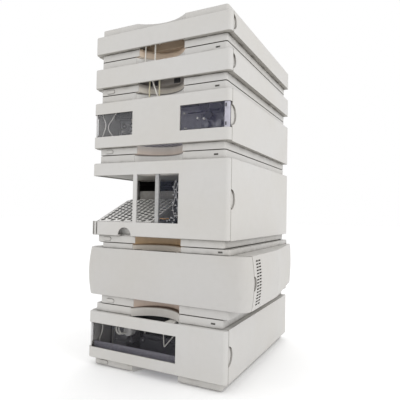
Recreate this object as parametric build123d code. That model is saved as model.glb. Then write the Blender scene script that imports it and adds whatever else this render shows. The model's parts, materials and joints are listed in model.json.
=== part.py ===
"""Six stacked instruments of a liquid chromatography (HPLC) system, one STEP file per piece.

Millimetres. X runs to the right, Y to the back, Z up. The origin is the centre of the
footprint, on the surface that the lowest instrument stands on.
"""

from build123d import *
from math import cos, pi, radians, sin, tan
import os

# ---------------------------------------------------------------- driving sizes
# Heights of the six instruments, from the bench upwards.
DETECTOR_HEIGHT = 140.0
OVEN_HEIGHT = 140.0
SAMPLER_HEIGHT = 200.0
PUMP_HEIGHT = 140.0
DEGASSER_HEIGHT = 80.0
TRAY_HEIGHT = 77.0

# Body shared by all instruments but the oven.
BODY_WIDTH = 345.0
BODY_DEPTH = 435.0
WALL = 3.0
BACK_CORNER_RADIUS = 5.0

# Narrow band on top and narrow plinth below the wide body.
BAND_HEIGHT = 17.0
PLINTH_HEIGHT = 17.0
BAND_INSET = 12.5
BAND_SETBACK = 10.5
BAND_CORNER_RADIUS = 5.0
SHADOW_GAP_HEIGHT = 2.0
SHADOW_GAP_DEPTH = 4.0

# Snap-off front cover.
COVER_DEPTH = 13.0
COVER_WALL = 3.0
COVER_CORNER_RADIUS = 8.0
COVER_EDGE_RADIUS = 2.5
COVER_GAP = 0.5

# Scallop in the band and recess in the plinth, through which the tubes run down.
SCALLOP_HALF_WIDTH = 62.0
SCALLOP_DEPTH = 34.0
TRAY_SCALLOP_DEPTH = 20.0
RECESS_HALF_WIDTH = 58.0
RECESS_DEPTH = 44.0
RECESS_X = 3.0

# Finger recesses behind the seam of the cover.
LOW_GRIP_RADIUS = 15.0
TALL_GRIP_RADIUS = 20.5
GRIP_DEPTH = 3.5
GRIP_CUP_WALL = 2.0

# Power button and status lamp.
BUTTON_LENGTH = 21.0
BUTTON_HEIGHT = 7.5
BUTTON_STAND_OUT = 1.5
BUTTON_TRAVEL = 2.0
BUTTON_DEPTH = 9.0
BUTTON_CLEARANCE = 0.4
BUTTON_INSET = 27.5
BUTTON_Z = 9.0
LAMP_LENGTH = 9.5
LAMP_HEIGHT = 3.2
LAMP_DEPTH = 4.0
LAMP_STAND_OUT = 0.4
LAMP_INSET = 21.0

# Solvent tray.
TRAY_FLOOR = 5.0
TRAY_INNER_MARGIN = 6.0
TRAY_INNER_RADIUS = 12.0

# Depths of the spaces behind the covers, from the seam.
DEGASSER_BAY_DEPTH = 24.5
PUMP_BAY_DEPTH = 85.0
SAMPLER_BAY_DEPTH = 174.5
OVEN_BAY_DEPTH = 70.0
DETECTOR_BAY_DEPTH = 70.0

# Windows.
PANE_THICKNESS = 2.0
PANE_CLEARANCE = 0.3
PUMP_WINDOW_LOW = 43.5
PUMP_WINDOW_HIGH = 96.0
PUMP_LEFT_WINDOW_END = -62.5
PUMP_RIGHT_WINDOW_START = 59.0
DETECTOR_WINDOW_LOW = 41.5
DETECTOR_WINDOW_HIGH = 97.0
DETECTOR_WINDOW_END = 59.5

# Autosampler front.
SAMPLER_SILL = 49.0
SAMPLER_HEADER = 154.0
SAMPLER_HEADER_LIP = 2.0
SAMPLER_POST_LEFT = -56.5
SAMPLER_POST_WIDTH = 10.0
SAMPLER_WINDOW_END = 59.0
SAMPLER_SIDE_OPENING_DEPTH = 160.0
NOTCH_X = -78.0
NOTCH_WIDTH = 36.0
NOTCH_HEIGHT = 20.0
GROOVE_COUNT = 2
GROOVE_INSET = 8.0
GROOVE_PITCH = 8.5
GROOVE_WIDTH = 3.4
GROOVE_DEPTH = 1.8

# Sliding door of the autosampler.
DOOR_LENGTH = 163.0
DOOR_END_GAP = 10.5
DOOR_THICKNESS = 2.5
DOOR_POST_WIDTH = 9.0
DOOR_CLEARANCE = 0.8
DOOR_OVERLAP = 4.0
DOOR_POST_DEPTH = 5.5
TRACK_WALL = 1.5
TRACK_LIP = 3.0

# Vial tray.
WELL_ROWS = 10
WELL_COLUMNS = 10
WELL_PITCH_ACROSS = 14.2
WELL_PITCH_ALONG = 13.3
WELL_DIAMETER = 11.9
WELL_DEPTH = 12.0
VIAL_TRAY_SIDE_GAP = 10.5
VIAL_TRAY_THICKNESS = 17.0
VIAL_TRAY_MARGIN = 3.0
VIAL_TRAY_TILT = 23.4
VIAL_TRAY_FRONT_HEIGHT = 49.5
VIAL_TRAY_FRONT_GAP = 11.5
DECK_FRONT_GAP = 14.5
DECK_BACK_OVERHANG = 6.0

# Column oven.
OVEN_WIDTH = 410.0
OVEN_OFFSET = 13.0
OVEN_LOW = 20.0
OVEN_HIGH = 128.5
OVEN_BULGE = 5.5
OVEN_CORNER_RADIUS = 30.0
OVEN_COVER_DEPTH = 29.0
OVEN_TAPER_LENGTH = 232.5
GRILLE_ROWS = 15
GRILLE_PITCH = 6.2
GRILLE_SLOT_LENGTH = 12.5
GRILLE_SLOT_HEIGHT = 3.0
GRILLE_SLOT_GAP = 2.6
GRILLE_DEPTH = 6.0
GRILLE_SETBACK = 46.0

# Solvent tubes and capillaries.
TUBE_DIAMETER = 3.2
TUBE_SETBACK = 7.5
TUBE_BEND_RADIUS = 9.0
TIGHT_BEND_RADIUS = 7.0
CAPILLARY_DIAMETER = 1.6

# ---------------------------------------------------------------- derived places
FRONT = -BODY_DEPTH / 2
BACK = BODY_DEPTH / 2
SIDE = BODY_WIDTH / 2
SEAM = FRONT + COVER_DEPTH
BAND_FRONT = FRONT + BAND_SETBACK
BAND_SIDE = SIDE - BAND_INSET
BUTTON_X = BUTTON_INSET - BAND_SIDE
LAMP_X = BAND_SIDE - LAMP_INSET
VIAL_TRAY_LEFT = VIAL_TRAY_SIDE_GAP - SIDE
DOOR_LEFT = SIDE - DOOR_END_GAP - DOOR_LENGTH
TUBE_Y = SEAM + TUBE_SETBACK

DETECTOR_BASE = 0.0
OVEN_BASE = DETECTOR_BASE + DETECTOR_HEIGHT
SAMPLER_BASE = OVEN_BASE + OVEN_HEIGHT
PUMP_BASE = SAMPLER_BASE + SAMPLER_HEIGHT
DEGASSER_BASE = PUMP_BASE + PUMP_HEIGHT
TRAY_BASE = DEGASSER_BASE + DEGASSER_HEIGHT


# ---------------------------------------------------------------- basic shapes
def block(x_range, y_range, z_range):
    """Box between two limits on each axis."""
    size = [limit[1] - limit[0] for limit in (x_range, y_range, z_range)]
    middle = [(limit[0] + limit[1]) / 2 for limit in (x_range, y_range, z_range)]
    return Pos(*middle) * Box(*size)


def rod_x(radius, x_range, y, z):
    """Cylinder along X."""
    length = x_range[1] - x_range[0]
    return Pos((x_range[0] + x_range[1]) / 2, y, z) * Rot(0, 90, 0) * Cylinder(radius, length)


def rod_y(radius, y_range, x, z):
    """Cylinder along Y."""
    length = y_range[1] - y_range[0]
    return Pos(x, (y_range[0] + y_range[1]) / 2, z) * Rot(90, 0, 0) * Cylinder(radius, length)


def rod_z(radius, z_range, x, y):
    """Cylinder along Z."""
    length = z_range[1] - z_range[0]
    return Pos(x, y, (z_range[0] + z_range[1]) / 2) * Cylinder(radius, length)


def upright_slab(half_width, y_range, z_range, front_radius, back_radius):
    """Slab centred on X = 0 whose upright front and back corners are rounded."""
    outline = Rectangle(2 * half_width, y_range[1] - y_range[0])
    if front_radius > 0:
        outline = fillet(outline.vertices().group_by(Axis.Y)[0], front_radius)
    if back_radius > 0:
        outline = fillet(outline.vertices().group_by(Axis.Y)[-1], back_radius)
    slab = extrude(outline, z_range[1] - z_range[0])
    return Pos(0, (y_range[0] + y_range[1]) / 2, z_range[0]) * slab


def save(shape, node):
    """Write one piece, or one group of equal pieces, to its STEP file."""
    export_step(shape, f"parts/{node}.step")


# ---------------------------------------------------------------- shared details
def bite(x_middle, half_width, depth, z_range):
    """Round cut-out in the front of a band or plinth, of a width and depth at its front face."""
    radius = (half_width**2 + depth**2) / (2 * depth)
    return rod_z(radius, z_range, x_middle, BAND_FRONT + depth - radius)


def scallop(low, high, depth=SCALLOP_DEPTH):
    """Round cut-out in the front edge of a band."""
    return bite(0, SCALLOP_HALF_WIDTH, depth, (low, high))


def tube_recess(base, bay_depth):
    """Round recess in the front of a plinth, and the slot above it in the floor of the bay."""
    floor = base + PLINTH_HEIGHT
    recess = bite(RECESS_X, RECESS_HALF_WIDTH, RECESS_DEPTH, (base, floor + WALL))
    behind_bay = block((-SIDE, SIDE), (SEAM + bay_depth, BACK), (floor, floor + WALL))
    return recess - behind_bay


def button_pocket(base):
    """Pocket for the power button in the front of a plinth."""
    length = BUTTON_LENGTH + 2 * BUTTON_CLEARANCE
    height = BUTTON_HEIGHT + 2 * BUTTON_CLEARANCE
    depth = BUTTON_DEPTH + BUTTON_TRAVEL + BUTTON_CLEARANCE - BUTTON_STAND_OUT
    return pill(length, height, (BAND_FRONT, BAND_FRONT + depth), base)


def pill(length, height, y_range, base):
    """Rounded bar lying along X at the place of the power button."""
    outline = SlotOverall(length, height)
    bar = extrude(Plane.XZ * outline, -(y_range[1] - y_range[0]))
    return Pos(BUTTON_X, y_range[0], base + BUTTON_Z) * bar


def power_button(base):
    """Pill-shaped button that stands out of the plinth."""
    start = BAND_FRONT - BUTTON_STAND_OUT
    return pill(BUTTON_LENGTH, BUTTON_HEIGHT, (start, start + BUTTON_DEPTH), base)


def lamp_pocket(base, height, y_start, stand_out=0.0):
    """Small upright rectangle in the middle of the band, on its right."""
    centre = base + height - BAND_HEIGHT / 2
    x_range = (LAMP_X - LAMP_LENGTH / 2, LAMP_X + LAMP_LENGTH / 2)
    z_range = (centre - LAMP_HEIGHT / 2, centre + LAMP_HEIGHT / 2)
    return block(x_range, (y_start - stand_out, y_start + LAMP_DEPTH), z_range)


def grips(middle, radius, seam, half_width):
    """Half-round finger recesses in both sides, just behind the seam of the cover."""
    cuts = []
    for side in (-1, 1):
        outer = side * (half_width + GRIP_DEPTH)
        inner = side * (half_width - GRIP_DEPTH)
        disc = rod_x(radius, sorted((inner, outer)), seam, middle)
        behind = block(sorted((inner, outer)), (seam, seam + radius), (middle - radius, middle + radius))
        cuts.append(disc & behind)
    return cuts[0] + cuts[1]


def grip_cups(middle, radius):
    """Pads inside both side walls that close the finger recesses off from the bay."""
    outer = SIDE - WALL / 2
    inner = SIDE - GRIP_DEPTH - GRIP_CUP_WALL
    y_range = (SEAM, SEAM + radius + GRIP_CUP_WALL)
    z_range = (middle - radius - GRIP_CUP_WALL, middle + radius + GRIP_CUP_WALL)
    return block((inner, outer), y_range, z_range) + block((-outer, -inner), y_range, z_range)


def bay_ceiling(base, height, bay_high=None):
    """Ceiling of the bay: just below the top of the wide body, unless a height is given."""
    return base + height - BAND_HEIGHT - WALL if bay_high is None else base + bay_high


def housing(base, height, bay_depth, bay_high=None, grip_radius=TALL_GRIP_RADIUS):
    """Wide body with band, plinth, front bay, tube recess and finger recesses."""
    low = base + PLINTH_HEIGHT
    high = base + height - BAND_HEIGHT
    ceiling = bay_ceiling(base, height, bay_high)
    wide = upright_slab(SIDE, (SEAM, BACK), (low, high), 0, BACK_CORNER_RADIUS)
    narrow_corners = (BAND_CORNER_RADIUS, BACK_CORNER_RADIUS)
    band = upright_slab(BAND_SIDE, (BAND_FRONT, BACK), (high, base + height), *narrow_corners)
    plinth_range = (base + SHADOW_GAP_HEIGHT, low)
    plinth = upright_slab(BAND_SIDE, (BAND_FRONT, BACK), plinth_range, *narrow_corners)
    foot_front = BAND_FRONT + SHADOW_GAP_DEPTH
    foot_back = BACK - SHADOW_GAP_DEPTH
    foot_range = (base, base + SHADOW_GAP_HEIGHT)
    foot = upright_slab(BAND_SIDE - SHADOW_GAP_DEPTH, (foot_front, foot_back), foot_range, 0, 0)
    inner = (-SIDE + WALL, SIDE - WALL)
    bay = block(inner, (FRONT, SEAM + bay_depth), (low + WALL, ceiling))
    body = wide + band + plinth + foot - bay - tube_recess(base, bay_depth)
    middle = base + height / 2
    return body + grip_cups(middle, grip_radius) - grips(middle, grip_radius, SEAM, SIDE)


def instrument(base, height, bay_depth, bay_high=None, grip_radius=TALL_GRIP_RADIUS):
    """Housing of a powered instrument: with scallop and pockets for lamp, button and rear plate."""
    body = housing(base, height, bay_depth, bay_high, grip_radius)
    body -= scallop(bay_ceiling(base, height, bay_high), base + height)
    body -= button_pocket(base)
    body -= lamp_pocket(base, height, BAND_FRONT)
    body -= rear_pocket(base, height)
    return body


def cover(base, height):
    """Snap-off front cover: a shallow tray with a rounded front, open in the middle above and below."""
    low = base + PLINTH_HEIGHT + COVER_GAP
    high = base + height - BAND_HEIGHT - COVER_GAP
    back = SEAM - COVER_GAP
    outer = upright_slab(SIDE, (FRONT, back), (low, high), COVER_CORNER_RADIUS, 0)
    rim = [edge for face in (outer.faces().sort_by(Axis.Z)[0], outer.faces().sort_by(Axis.Z)[-1])
           for edge in face.edges() if edge.center().Y < back - WALL / 2]
    outer = fillet(rim, COVER_EDGE_RADIUS)
    shell = outer - cover_lining(low + COVER_WALL, high - COVER_WALL, 0)
    inner_y = (FRONT + COVER_WALL, SEAM)
    shell -= block((-SCALLOP_HALF_WIDTH, SCALLOP_HALF_WIDTH), inner_y, (high - 2 * COVER_WALL, high))
    recess_x = (RECESS_X - RECESS_HALF_WIDTH, RECESS_X + RECESS_HALF_WIDTH)
    return shell - block(recess_x, inner_y, (low, low + 2 * COVER_WALL))


def cover_lining(low, high, offset):
    """Space inside a cover between two heights, shrunk by an offset."""
    half_width = SIDE - COVER_WALL - offset
    radius = COVER_CORNER_RADIUS - COVER_WALL - offset
    y_range = (FRONT + COVER_WALL + offset, SEAM)
    return upright_slab(half_width, y_range, (low, high), radius, 0)


def pane(base, low, high, x_range):
    """Window pane that lines the inside of a cover behind an opening, round the corner too."""
    z_range = (base + low - COVER_WALL, base + high + COVER_WALL)
    sheet = cover_lining(*z_range, 0) - cover_lining(*z_range, PANE_THICKNESS)
    return sheet & block(x_range, (FRONT, SEAM - COVER_GAP), z_range)


def window_cut(base, low, high, x_range):
    """Opening in the front wall of a cover, and in its side wall where it reaches past the corner."""
    return block(x_range, (FRONT - WALL, SEAM), (base + low, base + high))


# ---------------------------------------------------------------- rear of an instrument
REAR_PLATE_THICKNESS = 1.5
REAR_PLATE_INSET = 27.5
REAR_MARGIN = 6.0
VENT_COUNT = 12
VENT_PITCH = 8.0
VENT_WIDTH = 3.5
VENT_X = 20.0
INLET_X = -110.0
INLET_WIDTH = 30.0
INLET_HEIGHT = 22.0
INLET_DEPTH = 16.0
INLET_WALL = 2.0
PIN_THICKNESS = 2.0
PIN_HEIGHT = 4.0
PIN_PITCH = 7.0
PIN_STEP = 2.0
SOCKET_X = -65.0
SOCKET_WIDTH = 31.0
SOCKET_HEIGHT = 12.0
SOCKET_DEPTH = 6.0
SOCKET_RIM = 2.5
SOCKET_SIDE_ANGLE = 75.0


def rear_heights(base, height):
    """Lower and upper edge of the rear plate."""
    return base + PLINTH_HEIGHT + REAR_MARGIN, base + height - BAND_HEIGHT - REAR_MARGIN


def rear_sheet(low, high):
    """Plain sheet of the rear plate between two heights."""
    half = SIDE - REAR_PLATE_INSET
    return block((-half, half), (BACK - REAR_PLATE_THICKNESS, BACK), (low, high))


def rear_pocket(base, height):
    """Pocket in the back of a housing for the rear plate, the power inlet and the signal socket."""
    low, high = rear_heights(base, height)
    plate = rear_sheet(low, high)
    vent_start = BACK - REAR_PLATE_THICKNESS - SOCKET_DEPTH
    vents = block(vent_span(), (vent_start, BACK), (low + REAR_MARGIN, high - REAR_MARGIN))
    return plate + vents + inlet_body(base, height) + socket_body(base, height)


def vent_span():
    """Left and right end of the row of vent slots."""
    return VENT_X - VENT_WIDTH, VENT_X + VENT_PITCH * (VENT_COUNT - 1) + 2 * VENT_WIDTH


def inlet_body(base, height):
    """Outer block of the power inlet."""
    middle = base + height / 2
    x_range = (INLET_X - INLET_WIDTH / 2, INLET_X + INLET_WIDTH / 2)
    z_range = (middle - INLET_HEIGHT / 2, middle + INLET_HEIGHT / 2)
    return block(x_range, (BACK - INLET_DEPTH, BACK), z_range)


def socket_body(base, height):
    """Outer block of the signal socket."""
    middle = base + height / 2
    x_range = (SOCKET_X - SOCKET_WIDTH / 2, SOCKET_X + SOCKET_WIDTH / 2)
    z_range = (middle - SOCKET_HEIGHT / 2, middle + SOCKET_HEIGHT / 2)
    return block(x_range, (BACK - SOCKET_DEPTH, BACK), z_range)


def power_inlet(base, height):
    """Power inlet with its three flat pins."""
    middle = base + height / 2
    half_width = INLET_WIDTH / 2 - INLET_WALL
    half_height = INLET_HEIGHT / 2 - INLET_WALL
    mouth_y = (BACK - INLET_DEPTH + INLET_WALL, BACK)
    mouth_x = (INLET_X - half_width, INLET_X + half_width)
    mouth = block(mouth_x, mouth_y, (middle - half_height, middle + half_height))
    inlet = inlet_body(base, height) - mouth
    pin_y = (mouth_y[0], BACK - INLET_DEPTH / 2)
    for place in (-1, 0, 1):
        x_middle = INLET_X + place * PIN_PITCH
        z_middle = middle + (PIN_STEP if place == 0 else -PIN_STEP)
        x_range = (x_middle - PIN_THICKNESS / 2, x_middle + PIN_THICKNESS / 2)
        inlet += block(x_range, pin_y, (z_middle - PIN_HEIGHT / 2, z_middle + PIN_HEIGHT / 2))
    return inlet


def signal_socket(base, height):
    """Signal socket: a block with a shallow trapezium mouth."""
    middle = base + height / 2
    mouth = Trapezoid(SOCKET_WIDTH - 2 * SOCKET_RIM, SOCKET_HEIGHT - 2 * SOCKET_RIM, SOCKET_SIDE_ANGLE)
    cut = extrude(Plane.XZ * mouth, -SOCKET_DEPTH / 2)
    return socket_body(base, height) - Pos(SOCKET_X, BACK - SOCKET_DEPTH / 2, middle) * cut


def rear_plate(base, height):
    """Sheet-metal plate in the back, with a row of upright vent slots."""
    low, high = rear_heights(base, height)
    plate = rear_sheet(low, high)
    slot_range = (low + 2 * REAR_MARGIN, high - 2 * REAR_MARGIN)
    for index in range(VENT_COUNT):
        left = VENT_X + index * VENT_PITCH
        plate -= block((left, left + VENT_WIDTH), (BACK - 2 * REAR_PLATE_THICKNESS, BACK), slot_range)
    return plate - inlet_body(base, height) - socket_body(base, height)


# ---------------------------------------------------------------- solvent tray
def tray_shell():
    """Open tub for the solvent bottles."""
    body = housing(TRAY_BASE, TRAY_HEIGHT, DEGASSER_BAY_DEPTH, None, LOW_GRIP_RADIUS)
    body -= scallop(bay_ceiling(TRAY_BASE, TRAY_HEIGHT), TRAY_BASE + TRAY_HEIGHT, TRAY_SCALLOP_DEPTH)
    floor = TRAY_BASE + PLINTH_HEIGHT + TRAY_FLOOR
    half_width = BAND_SIDE - TRAY_INNER_MARGIN
    front = SEAM + DEGASSER_BAY_DEPTH + TRAY_INNER_MARGIN
    y_range = (front, BACK - TRAY_INNER_MARGIN)
    z_range = (floor, TRAY_BASE + TRAY_HEIGHT)
    return body - upright_slab(half_width, y_range, z_range, TRAY_INNER_RADIUS, TRAY_INNER_RADIUS)


# ---------------------------------------------------------------- degasser
def degasser_housing():
    """Housing of the degasser, low enough to need the smaller finger recesses."""
    return instrument(DEGASSER_BASE, DEGASSER_HEIGHT, DEGASSER_BAY_DEPTH, None, LOW_GRIP_RADIUS)


# ---------------------------------------------------------------- pump
def pump_cover():
    """Cover of the pump with a window at each end."""
    left = window_cut(PUMP_BASE, PUMP_WINDOW_LOW, PUMP_WINDOW_HIGH, (-SIDE - WALL, PUMP_LEFT_WINDOW_END))
    right = window_cut(PUMP_BASE, PUMP_WINDOW_LOW, PUMP_WINDOW_HIGH, (PUMP_RIGHT_WINDOW_START, SIDE + WALL))
    return cover(PUMP_BASE, PUMP_HEIGHT) - left - right


VALVE_SIDE_GAP = 60.5
VALVE_WIDTH = 44.0
VALVE_HEIGHT = 34.0
VALVE_DEPTH = 34.0
VALVE_Z = 68.0
COIL_RADIUS = 7.0
COIL_LENGTH = 12.0
HEAD_SIDE_GAP = 64.5
HEAD_WIDTH = 58.0
HEAD_HEIGHT = 42.0
HEAD_DEPTH = 40.0
HEAD_Z = 69.0
BOSS_RADIUS = 10.0
BOSS_LENGTH = 10.0
KNOB_RADIUS = 8.5
KNOB_LENGTH = 13.0
KNOB_FLUTES = 8
FLUTE_RADIUS = 2.0
FLUTE_DEPTH = 1.0
KNOB_CLEARANCE = 0.4
STEM_RADIUS = 4.0
STEM_LENGTH = 6.0

VALVE_X = VALVE_SIDE_GAP - SIDE
HEAD_X = SIDE - HEAD_SIDE_GAP
PUMP_PLATE = SEAM + PUMP_BAY_DEPTH
VALVE_FRONT = PUMP_PLATE - VALVE_DEPTH
HEAD_FRONT = PUMP_PLATE - HEAD_DEPTH


def mixing_valve():
    """Block that mixes four solvents, with four coils on its front."""
    middle = PUMP_BASE + VALVE_Z
    x_range = (VALVE_X - VALVE_WIDTH / 2, VALVE_X + VALVE_WIDTH / 2)
    z_range = (middle - VALVE_HEIGHT / 2, middle + VALVE_HEIGHT / 2)
    valve = block(x_range, (VALVE_FRONT, PUMP_PLATE), z_range)
    for x_side in (-1, 1):
        for z_side in (-1, 1):
            x_coil = VALVE_X + x_side * VALVE_WIDTH / 4
            z_coil = middle + z_side * VALVE_HEIGHT / 4
            valve += rod_y(COIL_RADIUS, (VALVE_FRONT - COIL_LENGTH, VALVE_FRONT), x_coil, z_coil)
    return valve


def pump_head():
    """Steel pump head with two cylinder bosses and the stem of the purge valve."""
    middle = PUMP_BASE + HEAD_Z
    x_range = (HEAD_X - HEAD_WIDTH / 2, HEAD_X + HEAD_WIDTH / 2)
    head = block(x_range, (HEAD_FRONT, PUMP_PLATE), (middle - HEAD_HEIGHT / 2, middle + HEAD_HEIGHT / 2))
    for side in (-1, 1):
        x_boss = HEAD_X + side * HEAD_WIDTH / 4
        head += rod_y(BOSS_RADIUS, (HEAD_FRONT - BOSS_LENGTH, HEAD_FRONT), x_boss, middle - HEAD_HEIGHT / 8)
    head += rod_y(STEM_RADIUS, (HEAD_FRONT - BOSS_LENGTH - STEM_LENGTH, HEAD_FRONT), HEAD_X, knob_height())
    return head


def knob_height():
    """Height of the axis of the purge knob."""
    return PUMP_BASE + HEAD_Z + HEAD_HEIGHT / 4


def purge_knob():
    """Fluted knob on the stem of the purge valve."""
    back = HEAD_FRONT - BOSS_LENGTH - KNOB_CLEARANCE
    knob = rod_y(KNOB_RADIUS, (back - KNOB_LENGTH, back), HEAD_X, knob_height())
    for index in range(KNOB_FLUTES):
        angle = 2 * pi * index / KNOB_FLUTES
        reach = KNOB_RADIUS + FLUTE_RADIUS - FLUTE_DEPTH
        x_flute = HEAD_X + reach * cos(angle)
        z_flute = knob_height() + reach * sin(angle)
        knob -= rod_y(FLUTE_RADIUS, (back - KNOB_LENGTH, back), x_flute, z_flute)
    bore = rod_y(STEM_RADIUS + KNOB_CLEARANCE, (back - STEM_LENGTH, back), HEAD_X, knob_height())
    return knob - bore


# ---------------------------------------------------------------- autosampler
def sampler_cover():
    """Cover of the autosampler: open corner on the left, a post, a window and a notch."""
    shell = cover(SAMPLER_BASE, SAMPLER_HEIGHT)
    heights = (SAMPLER_SILL, SAMPLER_HEADER)
    shell -= window_cut(SAMPLER_BASE, *heights, (-SIDE - WALL, SAMPLER_POST_LEFT))
    post_right = SAMPLER_POST_LEFT + SAMPLER_POST_WIDTH
    shell -= window_cut(SAMPLER_BASE, *heights, (post_right, SAMPLER_WINDOW_END))
    edge = SAMPLER_BASE + PLINTH_HEIGHT
    radius = NOTCH_WIDTH / 2
    shell -= rod_y(radius, (FRONT - WALL, SEAM), NOTCH_X, edge + NOTCH_HEIGHT - radius)
    for index in range(GROOVE_COUNT):
        middle = -SIDE + GROOVE_INSET + index * GROOVE_PITCH
        x_range = (middle - GROOVE_WIDTH / 2, middle + GROOVE_WIDTH / 2)
        shell -= block(x_range, (FRONT - WALL, FRONT + GROOVE_DEPTH), (edge, SAMPLER_BASE + SAMPLER_SILL))
    low, high = door_heights()
    return shell + door_track(low, -1) + door_track(high, 1)


def door_heights():
    """Lower and upper edge of the sliding door."""
    return SAMPLER_BASE + SAMPLER_SILL - DOOR_OVERLAP, SAMPLER_BASE + SAMPLER_HEADER + DOOR_OVERLAP


def door_track(edge, side):
    """Rail with a lip, behind the cover, that guides one edge of the door."""
    x_range = (-SIDE + 2 * COVER_WALL, SIDE - 2 * COVER_WALL)
    lip_y = FRONT + COVER_WALL + DOOR_CLEARANCE + DOOR_POST_DEPTH + DOOR_CLEARANCE
    shelf_z = sorted((edge + side * DOOR_CLEARANCE, edge + side * (DOOR_CLEARANCE + TRACK_WALL)))
    shelf = block(x_range, (FRONT + COVER_WALL, lip_y + TRACK_WALL), shelf_z)
    lip_z = sorted((edge - side * (TRACK_LIP - DOOR_CLEARANCE), shelf_z[1] if side > 0 else shelf_z[0]))
    return shelf + block(x_range, (lip_y, lip_y + TRACK_WALL), lip_z)


def sampler_housing():
    """Housing of the autosampler, whose left wall is open above a sloping edge."""
    body = instrument(SAMPLER_BASE, SAMPLER_HEIGHT, SAMPLER_BAY_DEPTH, SAMPLER_HEADER + SAMPLER_HEADER_LIP)
    front = SEAM - WALL
    back = SEAM + SAMPLER_SIDE_OPENING_DEPTH
    start = SAMPLER_BASE + SAMPLER_SILL
    slope_end = vial_tray_point(vial_tray_length(), 0)
    top = SAMPLER_BASE + SAMPLER_HEADER
    drop = WALL
    profile = Polyline(
        (front, start - drop), (SEAM, start - drop), (slope_end[0], slope_end[1] - drop),
        (back, slope_end[1] - drop), (back, top), (front, top), close=True,
    )
    opening = extrude(Plane.YZ * make_face(profile), WALL + GRIP_DEPTH + GRIP_CUP_WALL)
    return body - Pos(-SIDE - WALL / 2, 0, 0) * opening


def vial_tray_length():
    """Length of the vial tray along its slope."""
    return (WELL_ROWS - 0.5) * WELL_PITCH_ALONG + WELL_DIAMETER / 2 + 2 * VIAL_TRAY_MARGIN


def vial_tray_width():
    """Width of the vial tray."""
    return (WELL_COLUMNS - 1) * WELL_PITCH_ACROSS + WELL_DIAMETER + 2 * VIAL_TRAY_MARGIN


def vial_tray_point(along, down):
    """Y and Z of a point at a distance up the slope from the front edge and below the top face."""
    tilt = radians(VIAL_TRAY_TILT)
    y = FRONT + VIAL_TRAY_FRONT_GAP + along * cos(tilt) + down * sin(tilt)
    z = SAMPLER_BASE + VIAL_TRAY_FRONT_HEIGHT + along * sin(tilt) - down * cos(tilt)
    return y, z


def vial_tray():
    """Tilted tray with staggered round wells for the sample vials."""
    width = vial_tray_width()
    length = vial_tray_length()
    outline = Pos(width / 2, length / 2) * RectangleRounded(width, length, VIAL_TRAY_MARGIN)
    tray = Pos(0, 0, -VIAL_TRAY_THICKNESS) * extrude(outline, VIAL_TRAY_THICKNESS)
    wells = []
    for column in range(WELL_COLUMNS):
        stagger = WELL_PITCH_ALONG / 2 * (column % 2)
        x_well = VIAL_TRAY_MARGIN + WELL_DIAMETER / 2 + column * WELL_PITCH_ACROSS
        for row in range(WELL_ROWS):
            y_well = VIAL_TRAY_MARGIN + WELL_DIAMETER / 2 + stagger + row * WELL_PITCH_ALONG
            wells.append(Pos(x_well, y_well, -WELL_DEPTH / 2) * Cylinder(WELL_DIAMETER / 2, WELL_DEPTH))
    tray -= wells
    place = Pos(VIAL_TRAY_LEFT, *vial_tray_point(0, 0))
    return place * Rot(VIAL_TRAY_TILT, 0, 0) * tray


def tray_deck():
    """Sloping deck that carries the vial tray."""
    front = FRONT + DECK_FRONT_GAP + VIAL_TRAY_THICKNESS * sin(radians(VIAL_TRAY_TILT))
    back_y, back_z = vial_tray_point(vial_tray_length(), VIAL_TRAY_THICKNESS)
    floor = SAMPLER_BASE + PLINTH_HEIGHT + WALL
    front_z = back_z - (back_y - front) * tan(radians(VIAL_TRAY_TILT))
    profile = Polyline((front, floor), (back_y, floor), (back_y, back_z), (front, front_z), close=True)
    width = vial_tray_width()
    deck = extrude(Plane.YZ * make_face(profile), width)
    return Pos(VIAL_TRAY_LEFT, 0, 0) * deck


def door_post():
    """Light post along the left edge of the sliding door."""
    front = FRONT + COVER_WALL + DOOR_CLEARANCE
    return block((DOOR_LEFT, DOOR_LEFT + DOOR_POST_WIDTH), (front, front + DOOR_POST_DEPTH), door_heights())


def door_pane():
    """Tinted pane of the sliding door."""
    front = FRONT + COVER_WALL + DOOR_CLEARANCE
    start = DOOR_LEFT + DOOR_POST_WIDTH
    return block((start, DOOR_LEFT + DOOR_LENGTH), (front, front + DOOR_THICKNESS), door_heights())


# Transport of the autosampler: rail, carriage, lift, arm and two gripper fingers.
PANEL_THICKNESS = 3.0
PANEL_HIGH = 128.0
RAIL_LOW = 140.0
RAIL_HEIGHT = 10.0
RAIL_DEPTH = 11.0
RAIL_END_GAP = 12.5
CARRIAGE_X = 27.0
CARRIAGE_WIDTH = 34.0
CARRIAGE_WALL = 7.0
CARRIAGE_CLEARANCE = 0.5
LIFT_WIDTH = 10.0
LIFT_DEPTH = 10.0
LIFT_LOW = 126.5
LIFT_HIGH = 154.0
ARM_LOW = 118.0
ARM_HEIGHT = 8.0
ARM_REACH = 60.0
ARM_WIDTH = 14.0
ARM_GAP = 0.4
HUB_RADIUS = 9.0
FINGER_WIDTH = 3.5
FINGER_LENGTH = 9.0
FINGER_DROP = 7.5
FINGER_SPREAD = 5.8

BAY_BACK = SEAM + SAMPLER_BAY_DEPTH
RAIL_FRONT = BAY_BACK - RAIL_DEPTH
CARRIAGE_FRONT = RAIL_FRONT - CARRIAGE_CLEARANCE - CARRIAGE_WALL
LIFT_BACK = CARRIAGE_FRONT - ARM_GAP
LIFT_FRONT = LIFT_BACK - LIFT_DEPTH
HUB_Y = (LIFT_BACK + LIFT_FRONT) / 2


def back_panel():
    """Light panel on the back wall of the bay, behind the vial tray."""
    x_range = (VIAL_TRAY_LEFT, VIAL_TRAY_LEFT + vial_tray_width())
    floor = SAMPLER_BASE + PLINTH_HEIGHT + WALL
    return block(x_range, (BAY_BACK - PANEL_THICKNESS, BAY_BACK), (floor, SAMPLER_BASE + PANEL_HIGH))


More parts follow.
